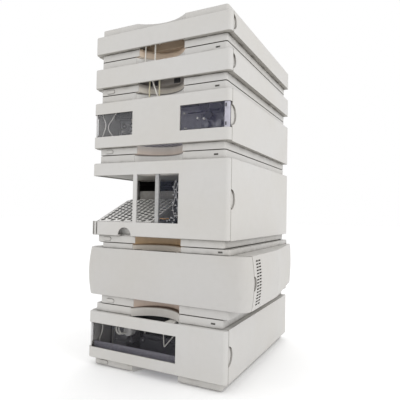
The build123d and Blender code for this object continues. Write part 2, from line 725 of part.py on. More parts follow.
def transport_rail():
    """Rail along the back wall of the sampler bay."""
    low = SAMPLER_BASE + RAIL_LOW
    half = SIDE - RAIL_END_GAP
    return block((-half, half), (RAIL_FRONT, BAY_BACK), (low, low + RAIL_HEIGHT))


def carriage():
    """Carriage that wraps the rail from the front."""
    low = SAMPLER_BASE + RAIL_LOW
    x_range = (CARRIAGE_X - CARRIAGE_WIDTH / 2, CARRIAGE_X + CARRIAGE_WIDTH / 2)
    clear = CARRIAGE_CLEARANCE
    z_range = (low - CARRIAGE_WALL, low + RAIL_HEIGHT + CARRIAGE_WALL / 2)
    body = block(x_range, (CARRIAGE_FRONT, BAY_BACK - clear), z_range)
    return body - block(x_range, (RAIL_FRONT - clear, BAY_BACK), (low - clear, low + RAIL_HEIGHT + clear))


def lift():
    """Upright bar that rises and drops in front of the carriage."""
    x_range = (CARRIAGE_X - LIFT_WIDTH / 2, CARRIAGE_X + LIFT_WIDTH / 2)
    return block(x_range, (LIFT_FRONT, LIFT_BACK), (SAMPLER_BASE + LIFT_LOW, SAMPLER_BASE + LIFT_HIGH))


def arm():
    """Arm with a round hub that turns under the lift and reaches forward."""
    low = SAMPLER_BASE + ARM_LOW
    z_range = (low, low + ARM_HEIGHT)
    x_range = (CARRIAGE_X - ARM_WIDTH / 2, CARRIAGE_X + ARM_WIDTH / 2)
    hub = rod_z(HUB_RADIUS, z_range, CARRIAGE_X, HUB_Y)
    return hub + block(x_range, (HUB_Y - ARM_REACH, HUB_Y), z_range)


def gripper_finger(side):
    """One of the two fingers below the tip of the arm."""
    high = SAMPLER_BASE + ARM_LOW - ARM_GAP
    inner = CARRIAGE_X + side * FINGER_SPREAD
    outer = inner + side * FINGER_WIDTH
    tip = HUB_Y - ARM_REACH
    return block(sorted((inner, outer)), (tip, tip + FINGER_LENGTH), (high - FINGER_DROP, high))


# Sampling unit of the autosampler: frame, needle arm, needle, seat and valve.
FRAME_LEFT = 48.0
FRAME_THICKNESS = 8.0
FRAME_SETBACK = 32.5
FRAME_LENGTH = 92.0
FRAME_HIGH = 150.0
NEEDLE_SETBACK = 63.5
NEEDLE_ARM_LOW = 112.0
NEEDLE_ARM_HEIGHT = 16.0
NEEDLE_ARM_DEPTH = 18.0
NEEDLE_ARM_LENGTH = 20.0
NEEDLE_ARM_GAP = 0.4
NEEDLE_DIAMETER = 2.0
NEEDLE_LENGTH = 34.0
SEAT_HIGH = 46.0
SEAT_WIDTH = 16.0
SEAT_HOLE_DEPTH = 6.0
METERING_RADIUS = 14.0
VALVE_RADIUS = 19.0
VALVE_LENGTH = 26.0
VALVE_CENTRE_X = 112.0
VALVE_CENTRE_Z = 80.0
PORT_RADIUS = 3.0
PORT_LENGTH = 5.0
PORT_CIRCLE = 11.0
PORT_COUNT = 6

FRAME_FRONT = SEAM + FRAME_SETBACK
FRAME_BACK = FRAME_FRONT + FRAME_LENGTH
NEEDLE_Y = SEAM + NEEDLE_SETBACK
NEEDLE_ARM_RIGHT = FRAME_LEFT - NEEDLE_ARM_GAP
NEEDLE_X = NEEDLE_ARM_RIGHT - NEEDLE_ARM_LENGTH + SEAT_WIDTH / 2


def sampling_frame():
    """Upright frame of the sampling unit, with the needle seat and the metering head."""
    floor = SAMPLER_BASE + PLINTH_HEIGHT + WALL
    plate_x = (FRAME_LEFT, FRAME_LEFT + FRAME_THICKNESS)
    frame = block(plate_x, (FRAME_FRONT, FRAME_BACK), (floor, SAMPLER_BASE + FRAME_HIGH))
    seat_x = (NEEDLE_X - SEAT_WIDTH / 2, FRAME_LEFT)
    seat_y = (NEEDLE_Y - SEAT_WIDTH / 2, NEEDLE_Y + SEAT_WIDTH / 2)
    frame += block(seat_x, seat_y, (floor, SAMPLER_BASE + SEAT_HIGH))
    hole_z = (SAMPLER_BASE + SEAT_HIGH - SEAT_HOLE_DEPTH, SAMPLER_BASE + SEAT_HIGH)
    frame -= rod_z(NEEDLE_DIAMETER, hole_z, NEEDLE_X, NEEDLE_Y)
    metering_x = FRAME_LEFT + METERING_RADIUS
    metering_y = FRAME_BACK - METERING_RADIUS
    frame += rod_z(METERING_RADIUS, (floor, SAMPLER_BASE + NEEDLE_ARM_LOW), metering_x, metering_y)
    return frame


def needle_arm():
    """Arm that carries the needle down to the seat."""
    low = SAMPLER_BASE + NEEDLE_ARM_LOW
    x_range = (NEEDLE_ARM_RIGHT - NEEDLE_ARM_LENGTH, NEEDLE_ARM_RIGHT)
    y_range = (NEEDLE_Y - NEEDLE_ARM_DEPTH / 2, NEEDLE_Y + NEEDLE_ARM_DEPTH / 2)
    return block(x_range, y_range, (low, low + NEEDLE_ARM_HEIGHT))


def needle():
    """Hollow steel needle with a hub, below the needle arm."""
    high = SAMPLER_BASE + NEEDLE_ARM_LOW
    hub = rod_z(2 * NEEDLE_DIAMETER, (high - 3 * NEEDLE_DIAMETER, high), NEEDLE_X, NEEDLE_Y)
    return hub + rod_z(NEEDLE_DIAMETER / 2, (high - NEEDLE_LENGTH, high), NEEDLE_X, NEEDLE_Y)


def injection_valve():
    """Round valve with a ring of ports, on the back wall behind the right side of the cover."""
    middle = SAMPLER_BASE + VALVE_CENTRE_Z
    front = FRAME_FRONT
    valve = rod_y(VALVE_RADIUS, (front, front + VALVE_LENGTH), VALVE_CENTRE_X, middle)
    for index in range(PORT_COUNT):
        angle = 2 * pi * index / PORT_COUNT
        x_port = VALVE_CENTRE_X + PORT_CIRCLE * cos(angle)
        z_port = middle + PORT_CIRCLE * sin(angle)
        valve += rod_y(PORT_RADIUS, (front - PORT_LENGTH, front), x_port, z_port)
    floor = SAMPLER_BASE + PLINTH_HEIGHT + WALL
    stand_x = (VALVE_CENTRE_X - VALVE_RADIUS / 2, VALVE_CENTRE_X + VALVE_RADIUS / 2)
    return valve + block(stand_x, (front + VALVE_LENGTH / 2, front + VALVE_LENGTH), (floor, middle))


# ---------------------------------------------------------------- column oven
def oven_section(shrink, height):
    """Plan outline of the barrel-shaped oven at a height, shrunk all round."""
    half = OVEN_WIDTH / 2 - shrink
    front = FRONT + shrink
    back_half = SIDE - shrink / 2
    taper_start = BACK - OVEN_TAPER_LENGTH
    outline = Polyline(
        (-half, front), (half, front), (half, taper_start), (back_half, BACK),
        (-back_half, BACK), (-half, taper_start), close=True,
    )
    face = make_face(outline)
    rows = face.vertices().group_by(Axis.Y)
    face = fillet(rows[0], OVEN_CORNER_RADIUS - shrink)
    face = fillet(face.vertices().group_by(Axis.Y)[-1], BACK_CORNER_RADIUS)
    return Pos(OVEN_OFFSET, 0, height) * face


def barrel(shrink):
    """Body that bulges at mid-height, between two heights of the oven."""
    low = OVEN_BASE + OVEN_LOW
    high = OVEN_BASE + OVEN_HIGH
    middle = (low + high) / 2
    sections = [
        oven_section(OVEN_BULGE + shrink, low + shrink),
        oven_section(shrink, middle),
        oven_section(OVEN_BULGE + shrink, high - shrink),
    ]
    return loft(sections)


OVEN_SEAM = FRONT + OVEN_COVER_DEPTH
OVEN_BACK_WALL = OVEN_SEAM + OVEN_BAY_DEPTH


def oven_region(y_range, gap):
    """Box over a stretch of depth between band and plinth, with a gap to each, to cut the barrel with."""
    z_range = (OVEN_BASE + OVEN_LOW + gap, OVEN_BASE + OVEN_HIGH - gap)
    return block((-OVEN_WIDTH, OVEN_WIDTH), y_range, z_range)


def oven_cover():
    """Barrel-shaped front cover of the oven with rounded corners."""
    back = OVEN_SEAM - COVER_GAP
    shell = barrel(0) & oven_region((FRONT - OVEN_BULGE, back), COVER_GAP)
    shell -= barrel(COVER_WALL)
    top = OVEN_BASE + OVEN_HIGH
    bottom = OVEN_BASE + OVEN_LOW
    slot_y = (BAND_FRONT, OVEN_SEAM)
    shell -= block((-SCALLOP_HALF_WIDTH, SCALLOP_HALF_WIDTH), slot_y, (top - 2 * COVER_WALL, top))
    recess_x = (RECESS_X - RECESS_HALF_WIDTH, RECESS_X + RECESS_HALF_WIDTH)
    return shell - block(recess_x, slot_y, (bottom, bottom + 2 * COVER_WALL))


def oven_housing():
    """Barrel-sided body of the oven, with side grilles, a narrow band and a plinth."""
    low = OVEN_BASE + OVEN_LOW
    high = OVEN_BASE + OVEN_HIGH
    wide = barrel(0) & oven_region((OVEN_SEAM, BACK), 0)
    wide -= Pos(OVEN_OFFSET, 0, 0) * grips((low + high) / 2, LOW_GRIP_RADIUS, OVEN_SEAM, OVEN_WIDTH / 2)
    corners = (BAND_CORNER_RADIUS, BACK_CORNER_RADIUS)
    band = upright_slab(BAND_SIDE, (BAND_FRONT, BACK), (high, OVEN_BASE + OVEN_HEIGHT), *corners)
    plinth = upright_slab(BAND_SIDE, (BAND_FRONT, BACK), (OVEN_BASE + SHADOW_GAP_HEIGHT, low), *corners)
    foot_y = (BAND_FRONT + SHADOW_GAP_DEPTH, BACK - SHADOW_GAP_DEPTH)
    foot_z = (OVEN_BASE, OVEN_BASE + SHADOW_GAP_HEIGHT)
    foot = upright_slab(BAND_SIDE - SHADOW_GAP_DEPTH, foot_y, foot_z, 0, 0)
    shift = Pos(OVEN_OFFSET, 0, 0)
    bay = block((-SIDE + WALL, SIDE - WALL), (FRONT, OVEN_BACK_WALL), (low + WALL, high - WALL))
    body = wide + shift * (band + plinth + foot) - shift * bay
    body -= scallop(high - WALL, OVEN_BASE + OVEN_HEIGHT)
    body -= bite(RECESS_X, RECESS_HALF_WIDTH, RECESS_DEPTH, (OVEN_BASE, low + WALL))
    body -= shift * (button_pocket(OVEN_BASE) + lamp_pocket_oven() + rear_pocket(OVEN_BASE, OVEN_HEIGHT))
    return body - shift * side_grilles()


def lamp_pocket_oven(stand_out=0.0):
    """Place of the status lamp in the lower band of the oven."""
    centre = OVEN_BASE + (OVEN_HIGH + OVEN_HEIGHT) / 2
    x_range = (LAMP_X - LAMP_LENGTH / 2, LAMP_X + LAMP_LENGTH / 2)
    z_range = (centre - LAMP_HEIGHT / 2, centre + LAMP_HEIGHT / 2)
    return block(x_range, (BAND_FRONT - stand_out, BAND_FRONT + LAMP_DEPTH), z_range)


def side_grilles():
    """Two columns of short slots in each side of the oven."""
    half = OVEN_WIDTH / 2
    start = FRONT + GRILLE_SETBACK
    middle = OVEN_BASE + (OVEN_LOW + OVEN_HIGH) / 2
    cuts = []
    for side in (-1, 1):
        x_range = sorted((side * (half - OVEN_BULGE - GRILLE_DEPTH), side * (half + WALL)))
        for column in range(2):
            front = start + column * (GRILLE_SLOT_LENGTH + GRILLE_SLOT_GAP)
            for row in range(GRILLE_ROWS):
                z_slot = middle + (row - (GRILLE_ROWS - 1) / 2) * GRILLE_PITCH
                z_range = (z_slot - GRILLE_SLOT_HEIGHT / 2, z_slot + GRILLE_SLOT_HEIGHT / 2)
                cuts.append(block(x_range, (front, front + GRILLE_SLOT_LENGTH), z_range))
    return Compound(cuts)


HEATER_WIDTH = 135.0
HEATER_GAP = 12.0
HEATER_DEPTH = 30.0
HEATER_LOW = 32.0
HEATER_HEIGHT = 80.0
COLUMN_RADIUS = 5.0
COLUMN_LENGTH = 110.0
FITTING_RADIUS = 8.0
FITTING_LENGTH = 14.0
CLIP_WIDTH = 9.0
CLIP_WALL = 3.0
CLIP_CLEARANCE = 0.1


def heater_blocks():
    """Two flat heater blocks on the back wall of the oven."""
    low = OVEN_BASE + HEATER_LOW
    y_range = (OVEN_BACK_WALL - HEATER_DEPTH, OVEN_BACK_WALL)
    pair = []
    for side in (-1, 1):
        x_range = sorted((side * HEATER_GAP / 2, side * (HEATER_GAP / 2 + HEATER_WIDTH)))
        pair.append(block(x_range, y_range, (low, low + HEATER_HEIGHT)))
    return Pos(OVEN_OFFSET, 0, 0) * Compound(pair)


def column_axis():
    """X of the middle, and Y and Z of the axis, of the separation column."""
    x_middle = OVEN_OFFSET - HEATER_GAP / 2 - HEATER_WIDTH / 2
    y_axis = OVEN_BACK_WALL - HEATER_DEPTH - CLIP_WALL - COLUMN_RADIUS
    return x_middle, y_axis, OVEN_BASE + HEATER_LOW + HEATER_HEIGHT / 2


def column():
    """Steel column with an end fitting at each end."""
    x_middle, y_axis, z_axis = column_axis()
    half = COLUMN_LENGTH / 2
    body = rod_x(COLUMN_RADIUS, (x_middle - half, x_middle + half), y_axis, z_axis)
    for side in (-1, 1):
        inner = x_middle + side * (half - FITTING_LENGTH)
        body += rod_x(FITTING_RADIUS, sorted((inner, x_middle + side * half)), y_axis, z_axis)
    return body


def column_clips():
    """Two open clips on the left heater block that hold the column."""
    x_middle, y_axis, z_axis = column_axis()
    inner = COLUMN_RADIUS + CLIP_CLEARANCE
    outer = COLUMN_RADIUS + CLIP_WALL
    clips = []
    for side in (-1, 1):
        left = x_middle + side * COLUMN_LENGTH / 4 - CLIP_WIDTH / 2
        x_range = (left, left + CLIP_WIDTH)
        ring = rod_x(outer, x_range, y_axis, z_axis) - rod_x(inner, x_range, y_axis, z_axis)
        mouth_y = (y_axis - outer, y_axis - COLUMN_RADIUS / 2)
        clips.append(ring - block(x_range, mouth_y, (z_axis - outer, z_axis + outer)))
    return Compound(clips)


# ---------------------------------------------------------------- detector
DETECTOR_PLATE = SEAM + DETECTOR_BAY_DEPTH
CELL_SIDE_GAP = 60.5
CELL_WIDTH = 50.0
CELL_HEIGHT = 40.0
CELL_DEPTH = 30.0
CELL_Z = 66.0
CELL_KNOB_RADIUS = 11.0
CELL_KNOB_LENGTH = 10.0
CELL_KNOB_OFFSET = 10.0
OPTICS_LEFT = -70.0
OPTICS_SIDE_GAP = 22.5
OPTICS_DEPTH = 22.0
OPTICS_LOW = 22.0
OPTICS_HIGH = 60.0


CELL_X = CELL_SIDE_GAP - SIDE


def detector_cover():
    """Cover of the detector with one long window round its left corner."""
    cut = window_cut(0, DETECTOR_WINDOW_LOW, DETECTOR_WINDOW_HIGH, (-SIDE - WALL, DETECTOR_WINDOW_END))
    return cover(DETECTOR_BASE, DETECTOR_HEIGHT) - cut


def flow_cell():
    """Flow cell holder with a round knob on its front."""
    x_range = (CELL_X - CELL_WIDTH / 2, CELL_X + CELL_WIDTH / 2)
    z_range = (CELL_Z - CELL_HEIGHT / 2, CELL_Z + CELL_HEIGHT / 2)
    front = DETECTOR_PLATE - CELL_DEPTH
    holder = block(x_range, (front, DETECTOR_PLATE), z_range)
    knob_y = (front - CELL_KNOB_LENGTH, front)
    return holder + rod_y(CELL_KNOB_RADIUS, knob_y, CELL_X + CELL_KNOB_OFFSET, CELL_Z)


def optics_cover():
    """Low cover plate over the lamp and the optics."""
    y_range = (DETECTOR_PLATE - OPTICS_DEPTH, DETECTOR_PLATE)
    plate = block((OPTICS_LEFT, SIDE - OPTICS_SIDE_GAP), y_range, (OPTICS_LOW, OPTICS_HIGH))
    return fillet(plate.edges().filter_by(Axis.X).group_by(Axis.Y)[0], WALL)


# ---------------------------------------------------------------- tubes
def tube(points, radii, diameter):
    """Round tube along straight runs joined by arcs."""
    path = FilletPolyline(*points, radius=radii)
    section = Plane(origin=path @ 0, z_dir=path % 0) * Circle(diameter / 2)
    return sweep(section, path=path)


PORT_LOW = 36.0
DEGASSER_PORT_COUNT = 8
DEGASSER_PORT_PITCH = 13.0
DEGASSER_PORT_X = -45.0
DEGASSER_PORT_RADIUS = 4.5
DEGASSER_PORT_LENGTH = 7.0
TRAY_TUBE_HEIGHT = 34.0
SOLVENT_TUBE_PORTS = (0, 2)
FEED_TUBE_PORTS = (1, 3)


def degasser_port_x(index):
    """X of one of the ports in a row."""
    return DEGASSER_PORT_X + index * DEGASSER_PORT_PITCH


def degasser_ports():
    """Row of tube fittings on the front plate of the degasser."""
    plate = SEAM + DEGASSER_BAY_DEPTH
    ports = []
    for index in range(DEGASSER_PORT_COUNT):
        y_range = (plate - DEGASSER_PORT_LENGTH, plate)
        ports.append(rod_y(DEGASSER_PORT_RADIUS, y_range, degasser_port_x(index), DEGASSER_BASE + PORT_LOW))
    return Compound(ports)


def solvent_tubes():
    """Tubes from the front wall of the solvent tray down to the ports of the degasser."""
    port_y = SEAM + DEGASSER_BAY_DEPTH - DEGASSER_PORT_LENGTH
    wall_y = SEAM + DEGASSER_BAY_DEPTH
    tubes = []
    for index in SOLVENT_TUBE_PORTS:
        x_tube = degasser_port_x(index)
        points = [
            (x_tube, wall_y, TRAY_BASE + TRAY_TUBE_HEIGHT),
            (x_tube, TUBE_Y, TRAY_BASE + TRAY_TUBE_HEIGHT),
            (x_tube, TUBE_Y, DEGASSER_BASE + PORT_LOW),
            (x_tube, port_y, DEGASSER_BASE + PORT_LOW),
        ]
        tubes.append(tube(points, TUBE_BEND_RADIUS, TUBE_DIAMETER))
    return Compound(tubes)


def feed_tubes():
    """Tubes from the degasser down to the mixing valve of the pump."""
    port_y = SEAM + DEGASSER_BAY_DEPTH - DEGASSER_PORT_LENGTH
    valve_top = PUMP_BASE + VALVE_Z + VALVE_HEIGHT / 2
    tubes = []
    for order, index in enumerate(FEED_TUBE_PORTS):
        x_port = degasser_port_x(index)
        x_valve = VALVE_X + (order - 0.5) * VALVE_WIDTH / 2
        y_valve = VALVE_FRONT + VALVE_DEPTH / 2
        bend_height = PUMP_BASE + PUMP_HEIGHT - BAND_HEIGHT - WALL
        points = [
            (x_port, port_y, DEGASSER_BASE + PORT_LOW),
            (x_port, TUBE_Y, DEGASSER_BASE + PORT_LOW),
            (x_port, TUBE_Y, bend_height),
            (x_valve, y_valve, bend_height - 2 * TUBE_BEND_RADIUS),
            (x_valve, y_valve, valve_top),
        ]
        radii = [TUBE_BEND_RADIUS, TUBE_BEND_RADIUS, TUBE_BEND_RADIUS / 2]
        tubes.append(tube(points, radii, TUBE_DIAMETER))
    return Compound(tubes)


def pump_tubes():
    """Two tubes from the left of the mixing valve down to the floor of the pump."""
    floor = PUMP_BASE + PLINTH_HEIGHT + WALL
    valve_left = VALVE_X - VALVE_WIDTH / 2
    tubes = []
    for order in range(2):
        x_tube = valve_left - 2 * TUBE_BEND_RADIUS + order * TUBE_BEND_RADIUS
        y_tube = VALVE_FRONT + VALVE_DEPTH / 4 + order * VALVE_DEPTH / 2
        z_tube = PUMP_BASE + VALVE_Z + (0.5 - order) * VALVE_HEIGHT / 2
        points = [(valve_left, y_tube, z_tube), (x_tube, y_tube, z_tube), (x_tube, y_tube, floor)]
        tubes.append(tube(points, TIGHT_BEND_RADIUS, TUBE_DIAMETER))
    return Compound(tubes)


def detector_tubes():
    """Tubes of the flow cell, and one along the front of the optics cover."""
    floor = DETECTOR_BASE + PLINTH_HEIGHT + WALL
    cell_left = CELL_X - CELL_WIDTH / 2
    cell_top = CELL_Z + CELL_HEIGHT / 2
    y_tube = DETECTOR_PLATE - CELL_DEPTH / 2
    x_drop = cell_left - 2 * TUBE_BEND_RADIUS
    waste = [(cell_left, y_tube, CELL_Z), (x_drop, y_tube, CELL_Z), (x_drop, y_tube, floor)]
    loop_top = cell_top + 1.4 * TUBE_BEND_RADIUS
    loop_end = CELL_X + CELL_WIDTH
    inlet = [
        (CELL_X, y_tube, cell_top), (CELL_X, y_tube, loop_top),
        (loop_end, y_tube, loop_top), (loop_end, y_tube, OPTICS_HIGH),
    ]
    return Compound([tube(points, TUBE_BEND_RADIUS, TUBE_DIAMETER) for points in (waste, inlet)])


# ---------------------------------------------------------------- writing the pieces
def write_instrument_parts():
    """Lamps, rear plates, inlets and sockets of the five powered instruments."""
    powered = {
        "degasser": (DEGASSER_BASE, DEGASSER_HEIGHT, 0.0),
        "pump": (PUMP_BASE, PUMP_HEIGHT, 0.0),
        "sampler": (SAMPLER_BASE, SAMPLER_HEIGHT, 0.0),
        "oven": (OVEN_BASE, OVEN_HEIGHT, OVEN_OFFSET),
        "detector": (DETECTOR_BASE, DETECTOR_HEIGHT, 0.0),
    }
    lamps = []
    inlets = []
    sockets = []
    for name, (base, height, shift) in powered.items():
        place = Pos(shift, 0, 0)
        save(place * power_button(base), f"{name}_power_button")
        save(place * rear_plate(base, height), f"{name}_rear_plate")
        lens = lamp_pocket(base, height, BAND_FRONT, LAMP_STAND_OUT)
        lamps.append(place * (lamp_pocket_oven(LAMP_STAND_OUT) if name == "oven" else lens))
        inlets.append(place * power_inlet(base, height))
        sockets.append(place * signal_socket(base, height))
    save(Compound(lamps), "status_lamps")
    save(Compound(inlets), "power_inlets")
    save(Compound(sockets), "signal_sockets")


def write_modules():
    """Housings, covers and inner pieces of the six instruments."""
    save(tray_shell(), "tray_shell")
    save(cover(TRAY_BASE, TRAY_HEIGHT), "tray_cover")
    save(degasser_housing(), "degasser_housing")
    save(cover(DEGASSER_BASE, DEGASSER_HEIGHT), "degasser_cover")
    save(degasser_ports(), "degasser_ports")
    save(instrument(PUMP_BASE, PUMP_HEIGHT, PUMP_BAY_DEPTH), "pump_housing")
    save(pump_cover(), "pump_cover")
    heights = (PUMP_WINDOW_LOW, PUMP_WINDOW_HIGH)
    save(pane(PUMP_BASE, *heights, (-SIDE, PUMP_LEFT_WINDOW_END + WALL)), "pump_window_left")
    save(pane(PUMP_BASE, *heights, (PUMP_RIGHT_WINDOW_START - WALL, SIDE)), "pump_window_right")
    save(mixing_valve(), "mixing_valve")
    save(pump_head(), "pump_head")
    save(purge_knob(), "purge_knob")
    save(sampler_housing(), "sampler_housing")
    save(sampler_cover(), "sampler_cover")
    save(door_post(), "sampler_door_post")
    save(door_pane(), "sampler_door_pane")
    save(tray_deck(), "vial_tray_deck")
    save(vial_tray(), "vial_tray")
    save(back_panel(), "sampler_back_panel")
    save(transport_rail(), "transport_rail")
    save(carriage(), "transport_carriage")
    save(lift(), "transport_lift")
    save(arm(), "transport_arm")
    save(gripper_finger(-1), "gripper_finger_left")
    save(gripper_finger(1), "gripper_finger_right")
    save(sampling_frame(), "sampling_frame")
    save(needle_arm(), "needle_arm")
    save(needle(), "needle")
    save(injection_valve(), "injection_valve")
    save(oven_housing(), "oven_housing")
    save(oven_cover(), "oven_cover")
    save(heater_blocks(), "heater_blocks")
    save(column(), "separation_column")
    save(column_clips(), "column_clips")
    save(instrument(DETECTOR_BASE, DETECTOR_HEIGHT, DETECTOR_BAY_DEPTH), "detector_housing")
    save(detector_cover(), "detector_cover")
    detector_heights = (DETECTOR_WINDOW_LOW, DETECTOR_WINDOW_HIGH)
    save(pane(DETECTOR_BASE, *detector_heights, (-SIDE, DETECTOR_WINDOW_END + WALL)), "detector_window")
    save(flow_cell(), "flow_cell")
    save(optics_cover(), "optics_cover")


os.makedirs("parts", exist_ok=True)
write_modules()
write_instrument_parts()
save(solvent_tubes(), "solvent_tubes")
save(feed_tubes(), "feed_tubes")
save(pump_tubes(), "pump_tubes")
save(detector_tubes(), "detector_tubes")
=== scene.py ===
"""Looks of the stacked liquid chromatography system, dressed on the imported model. Metres."""

import json
from math import cos, pi, radians, sin

import bmesh
import bpy
from mathutils import Matrix, Vector


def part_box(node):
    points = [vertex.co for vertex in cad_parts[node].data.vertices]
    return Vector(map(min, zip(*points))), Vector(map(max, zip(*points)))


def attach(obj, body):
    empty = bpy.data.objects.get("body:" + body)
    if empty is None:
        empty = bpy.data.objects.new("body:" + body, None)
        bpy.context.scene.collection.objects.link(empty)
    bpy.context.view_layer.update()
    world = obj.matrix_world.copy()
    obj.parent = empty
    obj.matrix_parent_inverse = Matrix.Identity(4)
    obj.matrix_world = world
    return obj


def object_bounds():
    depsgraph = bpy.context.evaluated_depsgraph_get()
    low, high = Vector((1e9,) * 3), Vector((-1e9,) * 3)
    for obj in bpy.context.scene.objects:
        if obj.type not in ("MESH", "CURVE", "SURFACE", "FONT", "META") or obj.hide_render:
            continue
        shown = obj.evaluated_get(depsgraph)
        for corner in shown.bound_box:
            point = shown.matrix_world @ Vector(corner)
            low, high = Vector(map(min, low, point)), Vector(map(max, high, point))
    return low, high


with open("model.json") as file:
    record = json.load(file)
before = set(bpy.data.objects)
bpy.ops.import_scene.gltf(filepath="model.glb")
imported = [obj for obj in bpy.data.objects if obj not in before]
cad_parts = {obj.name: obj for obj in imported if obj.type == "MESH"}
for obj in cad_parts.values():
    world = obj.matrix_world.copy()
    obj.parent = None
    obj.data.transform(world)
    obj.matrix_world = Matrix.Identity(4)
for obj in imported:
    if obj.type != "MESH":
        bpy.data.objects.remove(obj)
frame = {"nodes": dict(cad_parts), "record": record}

cad_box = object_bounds()
nodes = frame["nodes"]
scene = bpy.context.scene


# ---------------------------------------------------------------- camera, floor and light
CAMERA_PLACE = (0.48711, -0.96391, 0.35228)
CAMERA_AZIMUTH, CAMERA_ELEVATION, CAMERA_ROLL = 26.8097, 1.7835, 1.0829
FOCAL_LENGTH_PIXELS = 413.52
PICTURE_PIXELS = 400
SENSOR_WIDTH = 36.0
WORLD_STRENGTH = 1.0
KEY_POWER = 16
FILL_POWER = 5
BACK_POWER = 8
LIT_POINT = (0, 0, 0.4)
FLOOR_HALF_WIDTH = 14.0
FLOOR_GAP = 0.0002
FLOOR_GLOW = 0.12


def make_camera():
    """Camera at the photograph's place and viewing angle."""
    azimuth, elevation, roll = (radians(angle) for angle in (CAMERA_AZIMUTH, CAMERA_ELEVATION, CAMERA_ROLL))
    ahead = Vector((-sin(azimuth) * cos(elevation), cos(azimuth) * cos(elevation), sin(elevation)))
    right = ahead.cross(Vector((0, 0, 1))).normalized()
    up = right.cross(ahead)
    side = right * cos(roll) + up * sin(roll)
    top = up * cos(roll) - right * sin(roll)
    data = bpy.data.cameras.new("camera")
    data.sensor_width = SENSOR_WIDTH
    data.lens = FOCAL_LENGTH_PIXELS / PICTURE_PIXELS * SENSOR_WIDTH
    data.clip_start = 0.02
    data.clip_end = 60.0
    camera = bpy.data.objects.new("camera", data)
    camera.matrix_world = Matrix((
        (side.x, top.x, -ahead.x, CAMERA_PLACE[0]),
        (side.y, top.y, -ahead.y, CAMERA_PLACE[1]),
        (side.z, top.z, -ahead.z, CAMERA_PLACE[2]),
        (0, 0, 0, 1),
    ))
    scene.collection.objects.link(camera)
    scene.camera = camera


def area_light(name, place, size, power):
    """Soft white square light aimed at the middle of the stack."""
    data = bpy.data.lights.new(name, "AREA")
    data.shape = "SQUARE"
    data.size = size
    data.energy = power
    light = bpy.data.objects.new(name, data)
    light.location = place
    light.rotation_mode = "QUATERNION"
    light.rotation_quaternion = (Vector(LIT_POINT) - Vector(place)).to_track_quat("-Z", "Y")
    scene.collection.objects.link(light)


def make_studio():
    """Pale floor, white surroundings and three soft lights."""
    scene.view_settings.view_transform = "Standard"
    scene.view_settings.look = "None"
    world = bpy.data.worlds.new("surroundings")
    world.use_nodes = True
    world.node_tree.nodes["Background"].inputs["Color"].default_value = (1.0, 1.0, 1.0, 1)
    world.node_tree.nodes["Background"].inputs["Strength"].default_value = WORLD_STRENGTH
    scene.world = world
    mesh = bpy.data.meshes.new("floor")
    reach = FLOOR_HALF_WIDTH
    corners = [(-reach, -reach, 0), (reach, -reach, 0), (reach, reach, 0), (-reach, reach, 0)]
    mesh.from_pydata(corners, [], [(0, 1, 2, 3)])
    floor = bpy.data.objects.new("floor", mesh)
    floor.location = (0, 0, cad_box[0].z - FLOOR_GAP)
    scene.collection.objects.link(floor)
    mesh.materials.append(floor_paint())
    area_light("key", (2.6, -0.5, 1.6), 1.6, KEY_POWER)
    area_light("fill", (-1.8, -2.2, 1.4), 1.8, FILL_POWER)
    area_light("back", (-0.6, 2.4, 1.8), 1.8, BACK_POWER)


